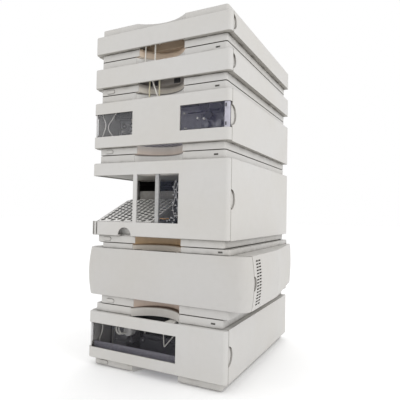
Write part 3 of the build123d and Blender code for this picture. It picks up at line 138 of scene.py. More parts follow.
# ---------------------------------------------------------------- materials
class Paint:
    """Node material with one Principled shader, built up step by step."""

    def __init__(self, name, roughness=0.5, metallic=0.0, **sockets):
        self.material = bpy.data.materials.new(name)
        self.material.use_nodes = True
        self.tree = self.material.node_tree
        self.shader = self.tree.nodes["Principled BSDF"]
        self.shader.inputs["Roughness"].default_value = roughness
        self.shader.inputs["Metallic"].default_value = metallic
        for socket, value in sockets.items():
            self.shader.inputs[socket.replace("_", " ")].default_value = value
        self.coordinates = self.node("ShaderNodeTexCoord").outputs["Object"]

    def node(self, kind, **values):
        made = self.tree.nodes.new(kind)
        for name, value in values.items():
            setattr(made, name, value)
        return made

    def link(self, source, target):
        self.tree.links.new(source, target)

    def noise(self, scale, detail=3.0, stretch=None):
        """Noise output at so many cells a metre, stretched along an axis if asked."""
        source = self.coordinates
        if stretch:
            mapping = self.node("ShaderNodeMapping")
            mapping.inputs["Scale"].default_value = stretch
            self.link(source, mapping.inputs["Vector"])
            source = mapping.outputs["Vector"]
        noise = self.node("ShaderNodeTexNoise")
        noise.inputs["Scale"].default_value = scale
        noise.inputs["Detail"].default_value = detail
        self.link(source, noise.inputs["Vector"])
        return noise.outputs["Fac"]

    def ramp(self, source, low, high, first, second):
        """Two-stop ramp over part of the source's range."""
        ramp = self.node("ShaderNodeValToRGB")
        ramp.color_ramp.elements[0].position = low
        ramp.color_ramp.elements[1].position = high
        ramp.color_ramp.elements[0].color = (*first, 1)
        ramp.color_ramp.elements[1].color = (*second, 1)
        self.link(source, ramp.inputs["Fac"])
        return ramp.outputs["Color"]

    def mix(self, factor, first, second):
        """Colour mix; factor may be a socket or a number, colours sockets or tuples."""
        mix = self.node("ShaderNodeMix", data_type="RGBA")
        sockets = mix.inputs["Factor"], mix.inputs[6], mix.inputs[7]
        for value, socket in zip((factor, first, second), sockets):
            if isinstance(value, (tuple, float, int)):
                socket.default_value = (*value, 1) if isinstance(value, tuple) else value
            else:
                self.link(value, socket)
        return mix.outputs[2]

    def colour(self, source):
        self.link(source, self.shader.inputs["Base Color"])

    def rough(self, source, low, high):
        """Roughness that follows a source between two values."""
        spread = self.node("ShaderNodeMapRange")
        spread.inputs["To Min"].default_value = low
        spread.inputs["To Max"].default_value = high
        self.link(source, spread.inputs["Value"])
        self.link(spread.outputs["Result"], self.shader.inputs["Roughness"])

    def bump(self, layers, round_edges=0.0):
        """Bump layers (source, strength, distance), over edges rounded in the shading."""
        normal = None
        if round_edges:
            bevel = self.node("ShaderNodeBevel", samples=4)
            bevel.inputs["Radius"].default_value = round_edges
            normal = bevel.outputs["Normal"]
        for source, strength, distance in layers:
            bump = self.node("ShaderNodeBump")
            bump.inputs["Strength"].default_value = strength
            bump.inputs["Distance"].default_value = distance
            self.link(source, bump.inputs["Height"])
            if normal is not None:
                self.link(normal, bump.inputs["Normal"])
            normal = bump.outputs["Normal"]
        self.link(normal, self.shader.inputs["Normal"])

    def multiply(self, factor, first, second):
        """Product of two colour sockets."""
        product = self.node("ShaderNodeMix", data_type="RGBA", blend_type="MULTIPLY")
        product.inputs["Factor"].default_value = factor
        self.link(first, product.inputs[6])
        self.link(second, product.inputs[7])
        return product.outputs[2]

    def span(self, source, start, end):
        """Zero at start, one at end, and smooth between."""
        spread = self.node("ShaderNodeMapRange", interpolation_type="SMOOTHSTEP")
        spread.inputs["From Min"].default_value = start
        spread.inputs["From Max"].default_value = end
        self.link(source, spread.inputs["Value"])
        return spread.outputs["Result"]

    def product(self, *sources):
        """Product of several values."""
        value = sources[0]
        for source in sources[1:]:
            times = self.node("ShaderNodeMath", operation="MULTIPLY")
            self.link(value, times.inputs[0])
            self.link(source, times.inputs[1])
            value = times.outputs[0]
        return value

    def axes(self):
        """X, Y and Z of the point, in metres."""
        split = self.node("ShaderNodeSeparateXYZ")
        self.link(self.coordinates, split.inputs[0])
        return split.outputs["X"], split.outputs["Y"], split.outputs["Z"]

    def seam_line(self, body, painted_shade, seam_y, middle_x):
        """Painted shade: dark line where the cover meets the body, on the sides only."""
        x, y, _ = self.axes()
        right = self.span(x, middle_x + 0.1630, middle_x + 0.1635)
        left = self.span(x, middle_x - 0.1630, middle_x - 0.1635)
        near = self.product(
            self.span(y, seam_y - 0.0014, seam_y - 0.0007),
            self.span(y, seam_y + 0.0014, seam_y + 0.0007),
        )
        sides = self.node("ShaderNodeMath", operation="ADD", use_clamp=True)
        self.link(right, sides.inputs[0])
        self.link(left, sides.inputs[1])
        forward = self.node("ShaderNodeMath", operation="ABSOLUTE")
        self.link(self.normal("Y"), forward.inputs[0])
        sideways = self.span(forward.outputs[0], 0.7, 0.3)
        return self.mix(self.product(near, sides.outputs[0], sideways), body, painted_shade)

    def gap_wall_shading(self, body):
        """Painted light and shade, with a tan and brown tint, on the walls of the gaps that the tubes run
        through, by height.
        """
        x, y, z = self.axes()
        zone = self.product(
            self.span(x, -0.0720, -0.0570), self.span(x, 0.0720, 0.0570),
            self.span(y, -0.2066, -0.2060), self.span(y, -0.150, -0.160),
            self.span(z, 0.748, 0.732),
        )
        height = self.node("ShaderNodeMapRange")
        height.inputs["From Max"].default_value = GAP_WALL_SHADE_TOP
        self.link(z, height.inputs["Value"])
        ramp = self.node("ShaderNodeValToRGB")
        stops = ramp.color_ramp.elements
        stops[0].color = (*GAP_WALL_SHADES[0][1], 1)
        stops[1].color = (*GAP_WALL_SHADES[-1][1], 1)
        for level, colour in GAP_WALL_SHADES[1:-1]:
            stop = stops.new(level / GAP_WALL_SHADE_TOP)
            stop.color = (*colour, 1)
        self.link(height.outputs["Result"], ramp.inputs["Fac"])
        upright = self.noise(45.0, 2.0, stretch=(2.0, 2.0, 0.15))
        streak = self.ramp(upright, 0.3, 0.7, (0.86, 0.84, 0.82), (1.0, 1.0, 1.0))
        shade = self.multiply(0.35, ramp.outputs["Color"], streak)
        return self.mix(zone, body, shade)

    def normal(self, axis):
        """One component of the face's direction."""
        geometry = self.node("ShaderNodeNewGeometry")
        split = self.node("ShaderNodeSeparateXYZ")
        self.link(geometry.outputs["True Normal"], split.inputs[0])
        return split.outputs[axis]

    def facing_down(self):
        """One on faces that look down, zero on the rest: the mask of the painted underside shade."""
        spread = self.node("ShaderNodeMapRange")
        spread.inputs["From Min"].default_value = -0.5
        spread.inputs["From Max"].default_value = -0.8
        self.link(self.normal("Z"), spread.inputs["Value"])
        return spread.outputs["Result"]

    def crevice(self, distance, dark, light, blotched=0.0):
        """Grey that is dark in corners and seams, used to paint shade there, with an uneven edge if asked."""
        occlusion = self.node("ShaderNodeAmbientOcclusion", samples=6)
        occlusion.inputs["Distance"].default_value = distance
        open_share = occlusion.outputs["AO"]
        if blotched:
            uneven = self.node("ShaderNodeMapRange")
            uneven.inputs["From Min"].default_value = 0.35
            uneven.inputs["From Max"].default_value = 0.65
            uneven.inputs["To Min"].default_value = -blotched / 2
            uneven.inputs["To Max"].default_value = blotched / 2
            self.link(self.noise(38.0, 3.0), uneven.inputs["Value"])
            total = self.node("ShaderNodeMath", operation="ADD")
            self.link(open_share, total.inputs[0])
            self.link(uneven.outputs["Result"], total.inputs[1])
            open_share = total.outputs[0]
        return self.ramp(open_share, dark, light, (0, 0, 0), (1, 1, 1))


# Height in metres and colour painted on the walls of the tube gaps: painted light and shade with a tan
# and brown tint. The dark lines are painted shade in the seams between instruments, at 0.140, 0.280,
# 0.480, 0.620 and 0.700. The wall above each is warmer, its pale stops are painted light, and the two
# top gaps darken upwards with painted shade.
GAP_WALL_SHADE_TOP = 0.777
GAP_WALL_SHADES = (
    (0.0000, (0.60, 0.59, 0.57)),
    (0.1384, (0.74, 0.71, 0.67)),
    (0.1391, (0.10, 0.065, 0.04)),
    (0.1410, (0.10, 0.065, 0.04)),
    (0.1418, (0.66, 0.52, 0.43)),
    (0.1600, (0.72, 0.62, 0.55)),
    (0.2780, (0.72, 0.66, 0.58)),
    (0.2790, (0.18, 0.11, 0.05)),
    (0.2808, (0.18, 0.11, 0.05)),
    (0.2815, (0.54, 0.37, 0.21)),
    (0.3000, (0.56, 0.43, 0.31)),
    (0.4784, (0.80, 0.79, 0.77)),
    (0.4791, (0.13, 0.10, 0.08)),
    (0.4806, (0.13, 0.10, 0.08)),
    (0.4813, (0.86, 0.74, 0.65)),
    (0.5000, (0.78, 0.74, 0.70)),
    (0.6186, (0.80, 0.79, 0.77)),
    (0.6192, (0.06, 0.05, 0.04)),
    (0.6207, (0.06, 0.05, 0.04)),
    (0.6213, (0.88, 0.83, 0.75)),
    (0.6330, (0.80, 0.75, 0.68)),
    (0.6350, (0.36, 0.33, 0.31)),
    (0.6450, (0.22, 0.20, 0.185)),
    (0.6986, (0.80, 0.79, 0.77)),
    (0.6992, (0.06, 0.05, 0.04)),
    (0.7007, (0.06, 0.05, 0.04)),
    (0.7013, (0.86, 0.73, 0.60)),
    (0.7145, (0.76, 0.62, 0.49)),
    (0.7175, (0.27, 0.20, 0.135)),
    (0.7770, (0.25, 0.19, 0.135)),
)


def shaded(colour, *shades):
    """Colour times one number, or times a number for each channel."""
    return tuple(value * shade for value, shade in zip(colour, shades * (3 // len(shades))))


def moulded(name, base, roughness=0.52, shade_share=0.6, grain=1.0, seam=None, well_shade=False):
    """Textured moulded plastic with fine grain, slight yellowing, painted shade in its corners and
    painted shade on faces that look down.

    A seam, given as its Y and the middle X of its body, adds deeper painted shade in the corners, a
    painted shade line along the cover and the painted light and shade in the tube gaps. When asked,
    deep narrow wells get painted shade.
    """
    paint = Paint(name, roughness, IOR=1.46)
    warm = shaded(base, 0.985, 0.975, 0.955)
    cool = shaded(base, 1.01, 1.012, 1.018)
    drift = paint.ramp(paint.noise(5.0, 2.0), 0.35, 0.68, warm, cool)
    mottle = paint.ramp(paint.noise(90.0, 4.0), 0.3, 0.75, (0.972, 0.970, 0.965), (1.0, 1.0, 1.0))
    body = paint.multiply(0.8, drift, mottle)
    # Painted shade: faces that look down are darkened.
    down = paint.facing_down()
    body = paint.mix(down, body, shaded(base, 0.58, 0.565, 0.53))
    # Painted shade in corners and seams, warm grey; faces that look down get it in full and the rest a
    # smaller share.
    painted_shade = shaded(base, 0.42, 0.39, 0.34)
    strength = paint.node("ShaderNodeMapRange")
    strength.inputs["To Min"].default_value = shade_share * 0.45
    strength.inputs["To Max"].default_value = 1.0
    paint.link(down, strength.inputs["Value"])
    corner_shaded = paint.mix(paint.crevice(0.012, 0.25, 0.8, 0.25), painted_shade, body)
    body = paint.mix(strength.outputs["Result"], body, corner_shaded)
    if seam is not None:
        # Deeper painted shade, near black, in the tightest corners and seams of the shells.
        corner = shaded(base, 0.08, 0.07, 0.055)
        deep_corner_shaded = paint.mix(paint.crevice(0.009, 0.42, 0.84, 0.35), corner, body)
        body = paint.mix(strength.outputs["Result"], body, deep_corner_shaded)
        body = paint.mix(paint.crevice(0.005, 0.28, 0.70), shaded(corner, 2.2), body)
        body = paint.gap_wall_shading(paint.seam_line(body, painted_shade, *seam))
    # Painted shade at the bottom of deep narrow wells.
    if well_shade:
        body = paint.mix(paint.crevice(0.016, 0.26, 0.56), (0.030, 0.030, 0.029), body)
    paint.colour(body)
    paint.rough(paint.noise(40.0, 4.0), roughness - 0.05, roughness + 0.08)
    fine = paint.noise(2600.0, 2.0)
    coarse = paint.noise(900.0, 3.0)
    paint.bump([(coarse, 0.10 * grain, 0.0004), (fine, 0.16 * grain, 0.00025)], round_edges=0.0009)
    return paint.material


def smoked(name, alpha, tint, gloss=0.22):
    """Smoked clear plastic of the windows, faintly scratched."""
    paint = Paint(name, 0.06, IOR=1.49, Alpha=alpha)
    paint.shader.inputs["Specular IOR Level"].default_value = gloss
    streak = paint.noise(60.0, 5.0, stretch=(1.0, 1.0, 6.0))
    paint.colour(paint.ramp(streak, 0.3, 0.75, tint, shaded(tint, 1.5)))
    paint.rough(streak, 0.045, 0.11)
    paint.bump([(paint.noise(18.0, 2.0), 0.05, 0.002)])
    return paint.material


def satin(name, base, roughness=0.42, grain=0.6, gloss=0.5):
    """Dark or grey moulded plastic with a satin face."""
    paint = Paint(name, roughness, IOR=1.48)
    paint.shader.inputs["Specular IOR Level"].default_value = gloss
    low = shaded(base, 0.86)
    high = tuple(min(1.0, value * 1.1) for value in base)
    paint.colour(paint.ramp(paint.noise(120.0, 4.0), 0.3, 0.7, low, high))
    paint.rough(paint.noise(60.0, 4.0), roughness - 0.06, roughness + 0.1)
    paint.bump([(paint.noise(1800.0, 2.0), 0.14 * grain, 0.0003)], round_edges=0.0005)
    return paint.material


def metal(name, base, roughness=0.3, stretch=(1.0, 1.0, 40.0), anisotropic=0.4):
    """Brushed metal: fine scratches along one axis."""
    paint = Paint(name, roughness, 1.0, Anisotropic=anisotropic)
    brush = paint.noise(160.0, 6.0, stretch=stretch)
    low = shaded(base, 0.84)
    paint.colour(paint.ramp(brush, 0.3, 0.72, low, base))
    paint.rough(brush, roughness - 0.06, roughness + 0.12)
    paint.bump([(brush, 0.08, 0.0002)], round_edges=0.0005)
    return paint.material


def coated():
    """Powder-coated sheet metal of the rear plates."""
    paint = Paint("coated_plate", 0.48, IOR=1.5)
    paint.colour(paint.ramp(paint.noise(30.0, 3.0), 0.3, 0.7, (0.375, 0.380, 0.385), (0.395, 0.400, 0.405)))
    paint.rough(paint.noise(300.0, 3.0), 0.42, 0.58)
    paint.bump([(paint.noise(1400.0, 2.0), 0.22, 0.0003)], round_edges=0.0004)
    return paint.material


def tubing(name, base, transmission=0.35, roughness=0.25):
    """Milky fluoropolymer tubing."""
    paint = Paint(name, roughness, IOR=1.36)
    paint.shader.inputs["Transmission Weight"].default_value = transmission
    low = shaded(base, 0.9)
    paint.colour(paint.ramp(paint.noise(260.0, 3.0), 0.3, 0.7, low, base))
    paint.bump([(paint.noise(500.0, 2.0), 0.04, 0.0003)])
    return paint.material


def lens():
    """Dark clear lens of an unlit lamp."""
    paint = Paint("lamp_lens", 0.12, IOR=1.5)
    paint.shader.inputs["Coat Weight"].default_value = 0.6
    mottle = paint.noise(400.0, 2.0)
    paint.colour(paint.ramp(mottle, 0.35, 0.65, (0.030, 0.026, 0.022), (0.055, 0.048, 0.040)))
    paint.bump([(paint.noise(900.0, 2.0), 0.05, 0.0002)])
    return paint.material


def floor_paint():
    """Pale seamless floor with the faintest mottling."""
    paint = Paint("floor", 0.7)
    paint.colour(paint.ramp(paint.noise(3.0, 3.0), 0.3, 0.7, (0.90, 0.90, 0.90), (0.93, 0.93, 0.93)))
    paint.shader.inputs["Emission Color"].default_value = (1, 1, 1, 1)
    paint.shader.inputs["Emission Strength"].default_value = FLOOR_GLOW
    paint.bump([(paint.noise(300.0, 2.0), 0.02, 0.0005)])
    return paint.material


BODY_SEAM = (-0.20475, 0.0)
OVEN_SEAM = (-0.18875, 0.013)
SHELL = moulded("shell_plastic", (0.548, 0.537, 0.520), seam=BODY_SEAM)
OVEN_SHELL = moulded("oven_plastic", (0.520, 0.509, 0.494), seam=OVEN_SEAM)
COVER = moulded("cover_plastic", (0.552, 0.542, 0.526), grain=0.8, seam=BODY_SEAM)
BUTTON = moulded("button_plastic", (0.520, 0.508, 0.488), 0.40, 0.4, 0.4)
WHITE = moulded("tray_plastic", (0.84, 0.83, 0.81), 0.38, 0.5, 0.3, well_shade=True)
IVORY = moulded("ivory_plastic", (0.84, 0.83, 0.80), 0.38, 0.3, 0.3)
DARK = satin("dark_plastic", (0.022, 0.022, 0.024))
GREY = satin("grey_plastic", (0.17, 0.17, 0.18))
# Pale plastic of fittings and tubes, also used for the painted highlights on the window corners.
PALE = satin("pale_plastic_and_highlight", (0.60, 0.59, 0.585), 0.3, 0.4)
# Lavender painted highlight on the pump's right window corner.
LAVENDER = satin("lavender_highlight", (0.42, 0.41, 0.47), 0.3, 0.4)
CHASSIS = satin("chassis_grey", (0.58, 0.58, 0.63), 0.5, 1.0)
SLATE = satin("slate_grey", (0.22, 0.22, 0.24), 0.5, 1.0)
DEEP_SLATE = satin("deep_slate", (0.075, 0.075, 0.088), 0.5, 1.0)
VALVE_GREY = satin("valve_grey", (0.36, 0.36, 0.37), 0.45, 0.8)
POST_GREY = satin("post_grey", (0.37, 0.37, 0.365), 0.4, 0.8)
BEIGE = satin("beige_panel", (0.27, 0.255, 0.235), 0.5, 1.0)
SUMP = satin("sump_grey", (0.30, 0.29, 0.34), 0.4, 0.8)
SHADE = satin("shade_black", (0.004, 0.004, 0.004), 0.7, 1.0, 0.0)
PANE = smoked("smoked_pane", 0.19, (0.024, 0.023, 0.028))
HAZY_PANE = smoked("hazy_pane", 0.16, (0.250, 0.250, 0.262))
VIOLET_PANE = smoked("violet_pane", 0.15, (0.085, 0.085, 0.135))
DOOR_PANE = smoked("door_smoked_pane", 0.13, (0.050, 0.055, 0.075), 0.12)
STEEL = metal("brushed_steel", (0.60, 0.60, 0.61), 0.26)
DULL_STEEL = metal("dull_steel", (0.30, 0.30, 0.32), 0.42)
ALUMINIUM = metal("blasted_aluminium", (0.66, 0.665, 0.68), 0.42, (1.0, 1.0, 1.0), 0.0)
BRASS = metal("plain_brass", (0.62, 0.36, 0.16), 0.3, (1.0, 1.0, 1.0), 0.0)
PLATE = coated()
TUBE = tubing("clear_tube", (0.80, 0.78, 0.72))
WHITE_TUBE = tubing("white_tube", (0.86, 0.84, 0.79), 0.0, 0.3)
YELLOWED_TUBE = tubing("yellowed_tube", (0.66, 0.61, 0.44), 0.0, 0.3)
LAMP = lens()

FINISHES = {
    "body_plastic": SHELL,
    "cover_plastic": COVER,
    "button_plastic": BUTTON,
    "tray_plastic": WHITE,
    "dark_plastic": DARK,
    "valve_plastic": GREY,
    "smoked_pane": PANE,
    "steel": STEEL,
    "aluminium": ALUMINIUM,
    "painted_plate": PLATE,
    "tube_plastic": TUBE,
    "lamp_lens": LAMP,
}
OWN_FINISHES = {
    "pump_window_left": HAZY_PANE,
    "pump_window_right": VIOLET_PANE,
    "pump_head": DULL_STEEL,
    "mixing_valve": VALVE_GREY,
    "sampler_door_post": POST_GREY,
    "optics_cover": DEEP_SLATE,
    "sampler_door_pane": DOOR_PANE,
    "transport_rail": SHADE,
    "sampler_back_panel": BEIGE,
    "oven_housing": OVEN_SHELL,
    "oven_cover": OVEN_SHELL,
    "solvent_tubes": WHITE_TUBE,
    "feed_tubes": YELLOWED_TUBE,
}


def dress_nodes():
    """Every node of the frame gets the finish of its material slot, or its own."""
    for entry in frame["record"]["subparts"]:
        mesh = nodes[entry["node"]].data
        mesh.materials.clear()
        mesh.materials.append(OWN_FINISHES.get(entry["node"], FINISHES[entry["material_slot"]]))


# ---------------------------------------------------------------- shapes of the small pieces, in millimetres
MILLIMETRE = 0.001
SHARP_ANGLE = 38
AXES = {
    "x": (Vector((1, 0, 0)), Vector((0, 1, 0)), Vector((0, 0, 1))),
    "y": (Vector((0, 1, 0)), Vector((0, 0, 1)), Vector((1, 0, 0))),
    "z": (Vector((0, 0, 1)), Vector((1, 0, 0)), Vector((0, 1, 0))),
}


class Form:
    """One mesh piece, put together from turned, bevelled and bent bits."""

    def __init__(self):
        self.mesh = bmesh.new()

    def ring(self, centre, first, second, radius, sides, turn=0.0):
        """Points evenly round a centre, turned by a share of the step between two of them."""
        made = []
        for index in range(sides):
            angle = 2 * pi * (index + turn) / sides
            made.append(self.mesh.verts.new(centre + (first * cos(angle) + second * sin(angle)) * radius))
        return made

    def wall(self, low, high):
        """Faces between two rings of equally many points."""
        for index in range(len(low)):
            after = (index + 1) % len(low)
            self.mesh.faces.new((low[index], low[after], high[after], high[index]))

    def skin(self, rings):
        """Closed surface along a row of rings, with a flat face at each end."""
        for low, high in zip(rings, rings[1:]):
            self.wall(low, high)
        self.mesh.faces.new(rings[0][::-1])
        self.mesh.faces.new(rings[-1])

    def turned(self, profile, place, axis, sides=24):
        """Profile of (radius, distance) turned round an axis; six sides make a nut."""
        along, first, second = AXES[axis]
        self.skin([
            self.ring(Vector(place) + along * distance, first, second, radius, sides, 0.5)
            for radius, distance in profile
        ])

    def ringed(self, profile, place, axis, sides=24):
        """Ring with a bore: the profile of (radius, distance) closes on itself."""
        along, first, second = AXES[axis]
        rings = [
            self.ring(Vector(place) + along * distance, first, second, radius, sides)
            for radius, distance in profile
        ]
        for low, high in zip(rings, [*rings[1:], rings[0]]):
            self.wall(low, high)

    def slab(self, x_range, y_range, z_range, bevel=0.5, segments=2):
        """Box with rounded edges."""
        size = [high - low for low, high in (x_range, y_range, z_range)]
        middle = [(high + low) / 2 for low, high in (x_range, y_range, z_range)]
        matrix = Matrix.Translation(middle) @ Matrix.Diagonal((*size, 1))
        made = bmesh.ops.create_cube(self.mesh, size=1.0, matrix=matrix)["verts"]
        edges = list(dict.fromkeys(edge for vertex in made for edge in vertex.link_edges))
        reach = min(bevel, min(size) * 0.45)
        bmesh.ops.bevel(self.mesh, geom=edges, offset=reach, segments=segments, affect="EDGES", profile=0.5)

    def bent(self, points, radius, sides=10, steps=7):
        """Round tube on a smooth line through the points."""
        line = smooth_line([Vector(point) for point in points], steps)
        ahead = (line[1] - line[0]).normalized()
        across = ahead.orthogonal().normalized()
        rings = []
        for index, point in enumerate(line):
            before = line[max(index - 1, 0)]
            after = line[min(index + 1, len(line) - 1)]
            heading = (after - before).normalized()
            across = (across - heading * across.dot(heading)).normalized()
            rings.append(self.ring(point, across, heading.cross(across), radius, sides))
        self.skin(rings)

    def swept(self, outline, z_range):
        """Upright wall whose plan outline is closed."""
        self.skin([[self.mesh.verts.new((x, y, z)) for x, y in outline] for z in z_range])

    def screw(self, place, direction, radius):
        """Domed screw with a cross recess, its head towards a direction along Y."""
        x, y, z = place
        dome = ((1, 0), (1, 0.6), (0.8, 0.85), (0.45, 1))
        self.turned([(wide * radius, direction * (tall * radius)) for wide, tall in dome], place, "y", 20)
        slot = y + direction * radius
        for half_x, half_z in ((0.55, 0.11), (0.11, 0.55)):
            self.slab(
                (x - half_x * radius, x + half_x * radius),
                sorted((slot - direction * 0.2, slot + direction * 0.08)),
                (z - half_z * radius, z + half_z * radius), 0.05, 1,
            )

    def made(self, name, finish, body, slot):
        """Finished object, riding on its body."""
        for face in self.mesh.faces:
            face.smooth = True
        bmesh.ops.recalc_face_normals(self.mesh, faces=self.mesh.faces)
        bmesh.ops.scale(self.mesh, vec=(MILLIMETRE,) * 3, verts=self.mesh.verts)
        mesh = bpy.data.meshes.new(name)
        self.mesh.to_mesh(mesh)
        self.mesh.free()
        mesh.set_sharp_from_angle(angle=radians(SHARP_ANGLE))
        mesh.materials.append(finish)
        piece = bpy.data.objects.new(name, mesh)
        scene.collection.objects.link(piece)
        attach(piece, body)


def smooth_line(points, steps):
    """Points of a smooth line that passes through the given ones."""
    if len(points) == 2:
        return points
    padded = [points[0] * 2 - points[1], *points, points[-1] * 2 - points[-2]]
    line = []
    for index in range(len(points) - 1):
        a, b, c, d = padded[index:index + 4]
        for step in range(steps):
            t = step / steps
            line.append(0.5 * (
                b * 2 + (c - a) * t + (a * 2 - b * 5 + c * 4 - d) * t**2 + (b * 3 - a - c * 3 + d) * t**3
            ))
    line.append(points[-1])
    return line


# ---------------------------------------------------------------- places in the frame, in millimetres
FRONT, SEAM, BACK, SIDE = -217.5, -204.5, 217.5, 172.5
BASES = {"degasser": 620, "pump": 480, "sampler": 280, "oven": 140, "detector": 0}
HEIGHTS = {"degasser": 80, "pump": 140, "sampler": 200, "oven": 140, "detector": 140}
OVEN_SHIFT = 13


def place_of(node):
    """Lowest and highest corner of a node at rest, in millimetres."""
    low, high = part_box(node)
    return Vector(low) * 1000, Vector(high) * 1000


# ---------------------------------------------------------------- rear of the instruments
def dress_rear():
    """Screws of the rear plates, posts and contacts of the sockets, rims and drawers of the inlets."""
    screws, posts, pins, rims, fuses = Form(), Form(), Form(), Form(), Form()
    for name, base in BASES.items():
        shift = OVEN_SHIFT if name == "oven" else 0
        low, high = base + 23, base + HEIGHTS[name] - 23
        middle = base + HEIGHTS[name] / 2
        for x in (-137, 137):
            for z in (low + 8, high - 8):
                screws.screw((x + shift, BACK - 1.4, z), 1, 2.6)
        for x in (-44, 0):
            screws.screw((x + shift, BACK - 1.2, low + 6), 1, 2.2)
            screws.screw((x + shift, BACK - 1.2, high - 6), 1, 2.2)
        inlet = -110 + shift
        socket = -65 + shift
        for side in (-1, 1):
            screws.screw((inlet + side * 19, BACK - 1.3, middle), 1, 2.4)
            post = (socket + side * 12.9, BACK, middle)
            posts.turned([(2.6, -1.5), (2.6, 0.1), (2.2, 0.3), (1.3, 0.3)], post, "y", 6)
        for row, count in ((1.6, 8), (-1.6, 7)):
            for index in range(count):
                x = socket + (index - (count - 1) / 2) * 2.4
                pins.turned([(0.55, -3.2), (0.55, -1.2), (0.3, -0.9)], (x, BACK, middle + row), "y", 10)
        for z in (-10.2, 10.2):
            rims.slab((inlet - 15, inlet + 15), (BACK - 0.6, BACK), (middle + z - 0.8, middle + z + 0.8), 0.3)
        for x in (-14.2, 14.2):
            rims.slab((inlet + x - 0.8, inlet + x + 0.8), (BACK - 0.6, BACK), (middle - 11, middle + 11), 0.3)
        drawer = (middle - 8.6, middle - 5.6)
        fuses.slab((inlet - 12.5, inlet + 12.5), (BACK - 13.6, BACK - 11.5), drawer, 0.4)
    screws.made("rear_screws", STEEL, "stack", "steel")
    posts.made("socket_posts", STEEL, "stack", "steel")
    pins.made("socket_contacts", BRASS, "stack", "steel")
    rims.made("inlet_rims", DARK, "stack", "dark_plastic")
    fuses.made("inlet_fuse_drawers", GREY, "stack", "dark_plastic")


# ---------------------------------------------------------------- degasser
def dress_degasser():
    """Nuts and plugs of the tube ports, and dark patches on the wall of the tube gap."""
    low, high = place_of("degasser_ports")
    middle = (low.z + high.z) / 2
    nuts, stubs = Form(), Form()
    for index in range(8):
        x = low.x + 4.5 + 13 * index
        nuts.turned([(4.2, -4.6), (4.6, -4.2), (4.6, -0.4), (4.2, 0)], (x, low.y, middle), "y", 6)
        nuts.turned([(2.9, -7.0), (3.3, -6.6), (3.3, -4.4)], (x, low.y, middle), "y", 20)
        if index > 3:
            stubs.turned([(2.2, -9.0), (2.6, -8.6), (2.6, -6.8)], (x, low.y, middle), "y", 16)
    # Three dark slabs against the wall of the tube gap.
    dark_patches = Form()
    for left, right in ((-44, -36), (-29, -21), (21, 37)):
        dark_patches.slab((left, right), (-180.9, -179.9), (638.5, 649.5), 0.8)
    dark_patches.made("degasser_gap_dark_patches", DARK, "stack", "dark_plastic")
    nuts.made("degasser_port_nuts", GREY, "stack", "valve_plastic")
    stubs.made("degasser_port_plugs", WHITE_TUBE, "stack", "tube_plastic")


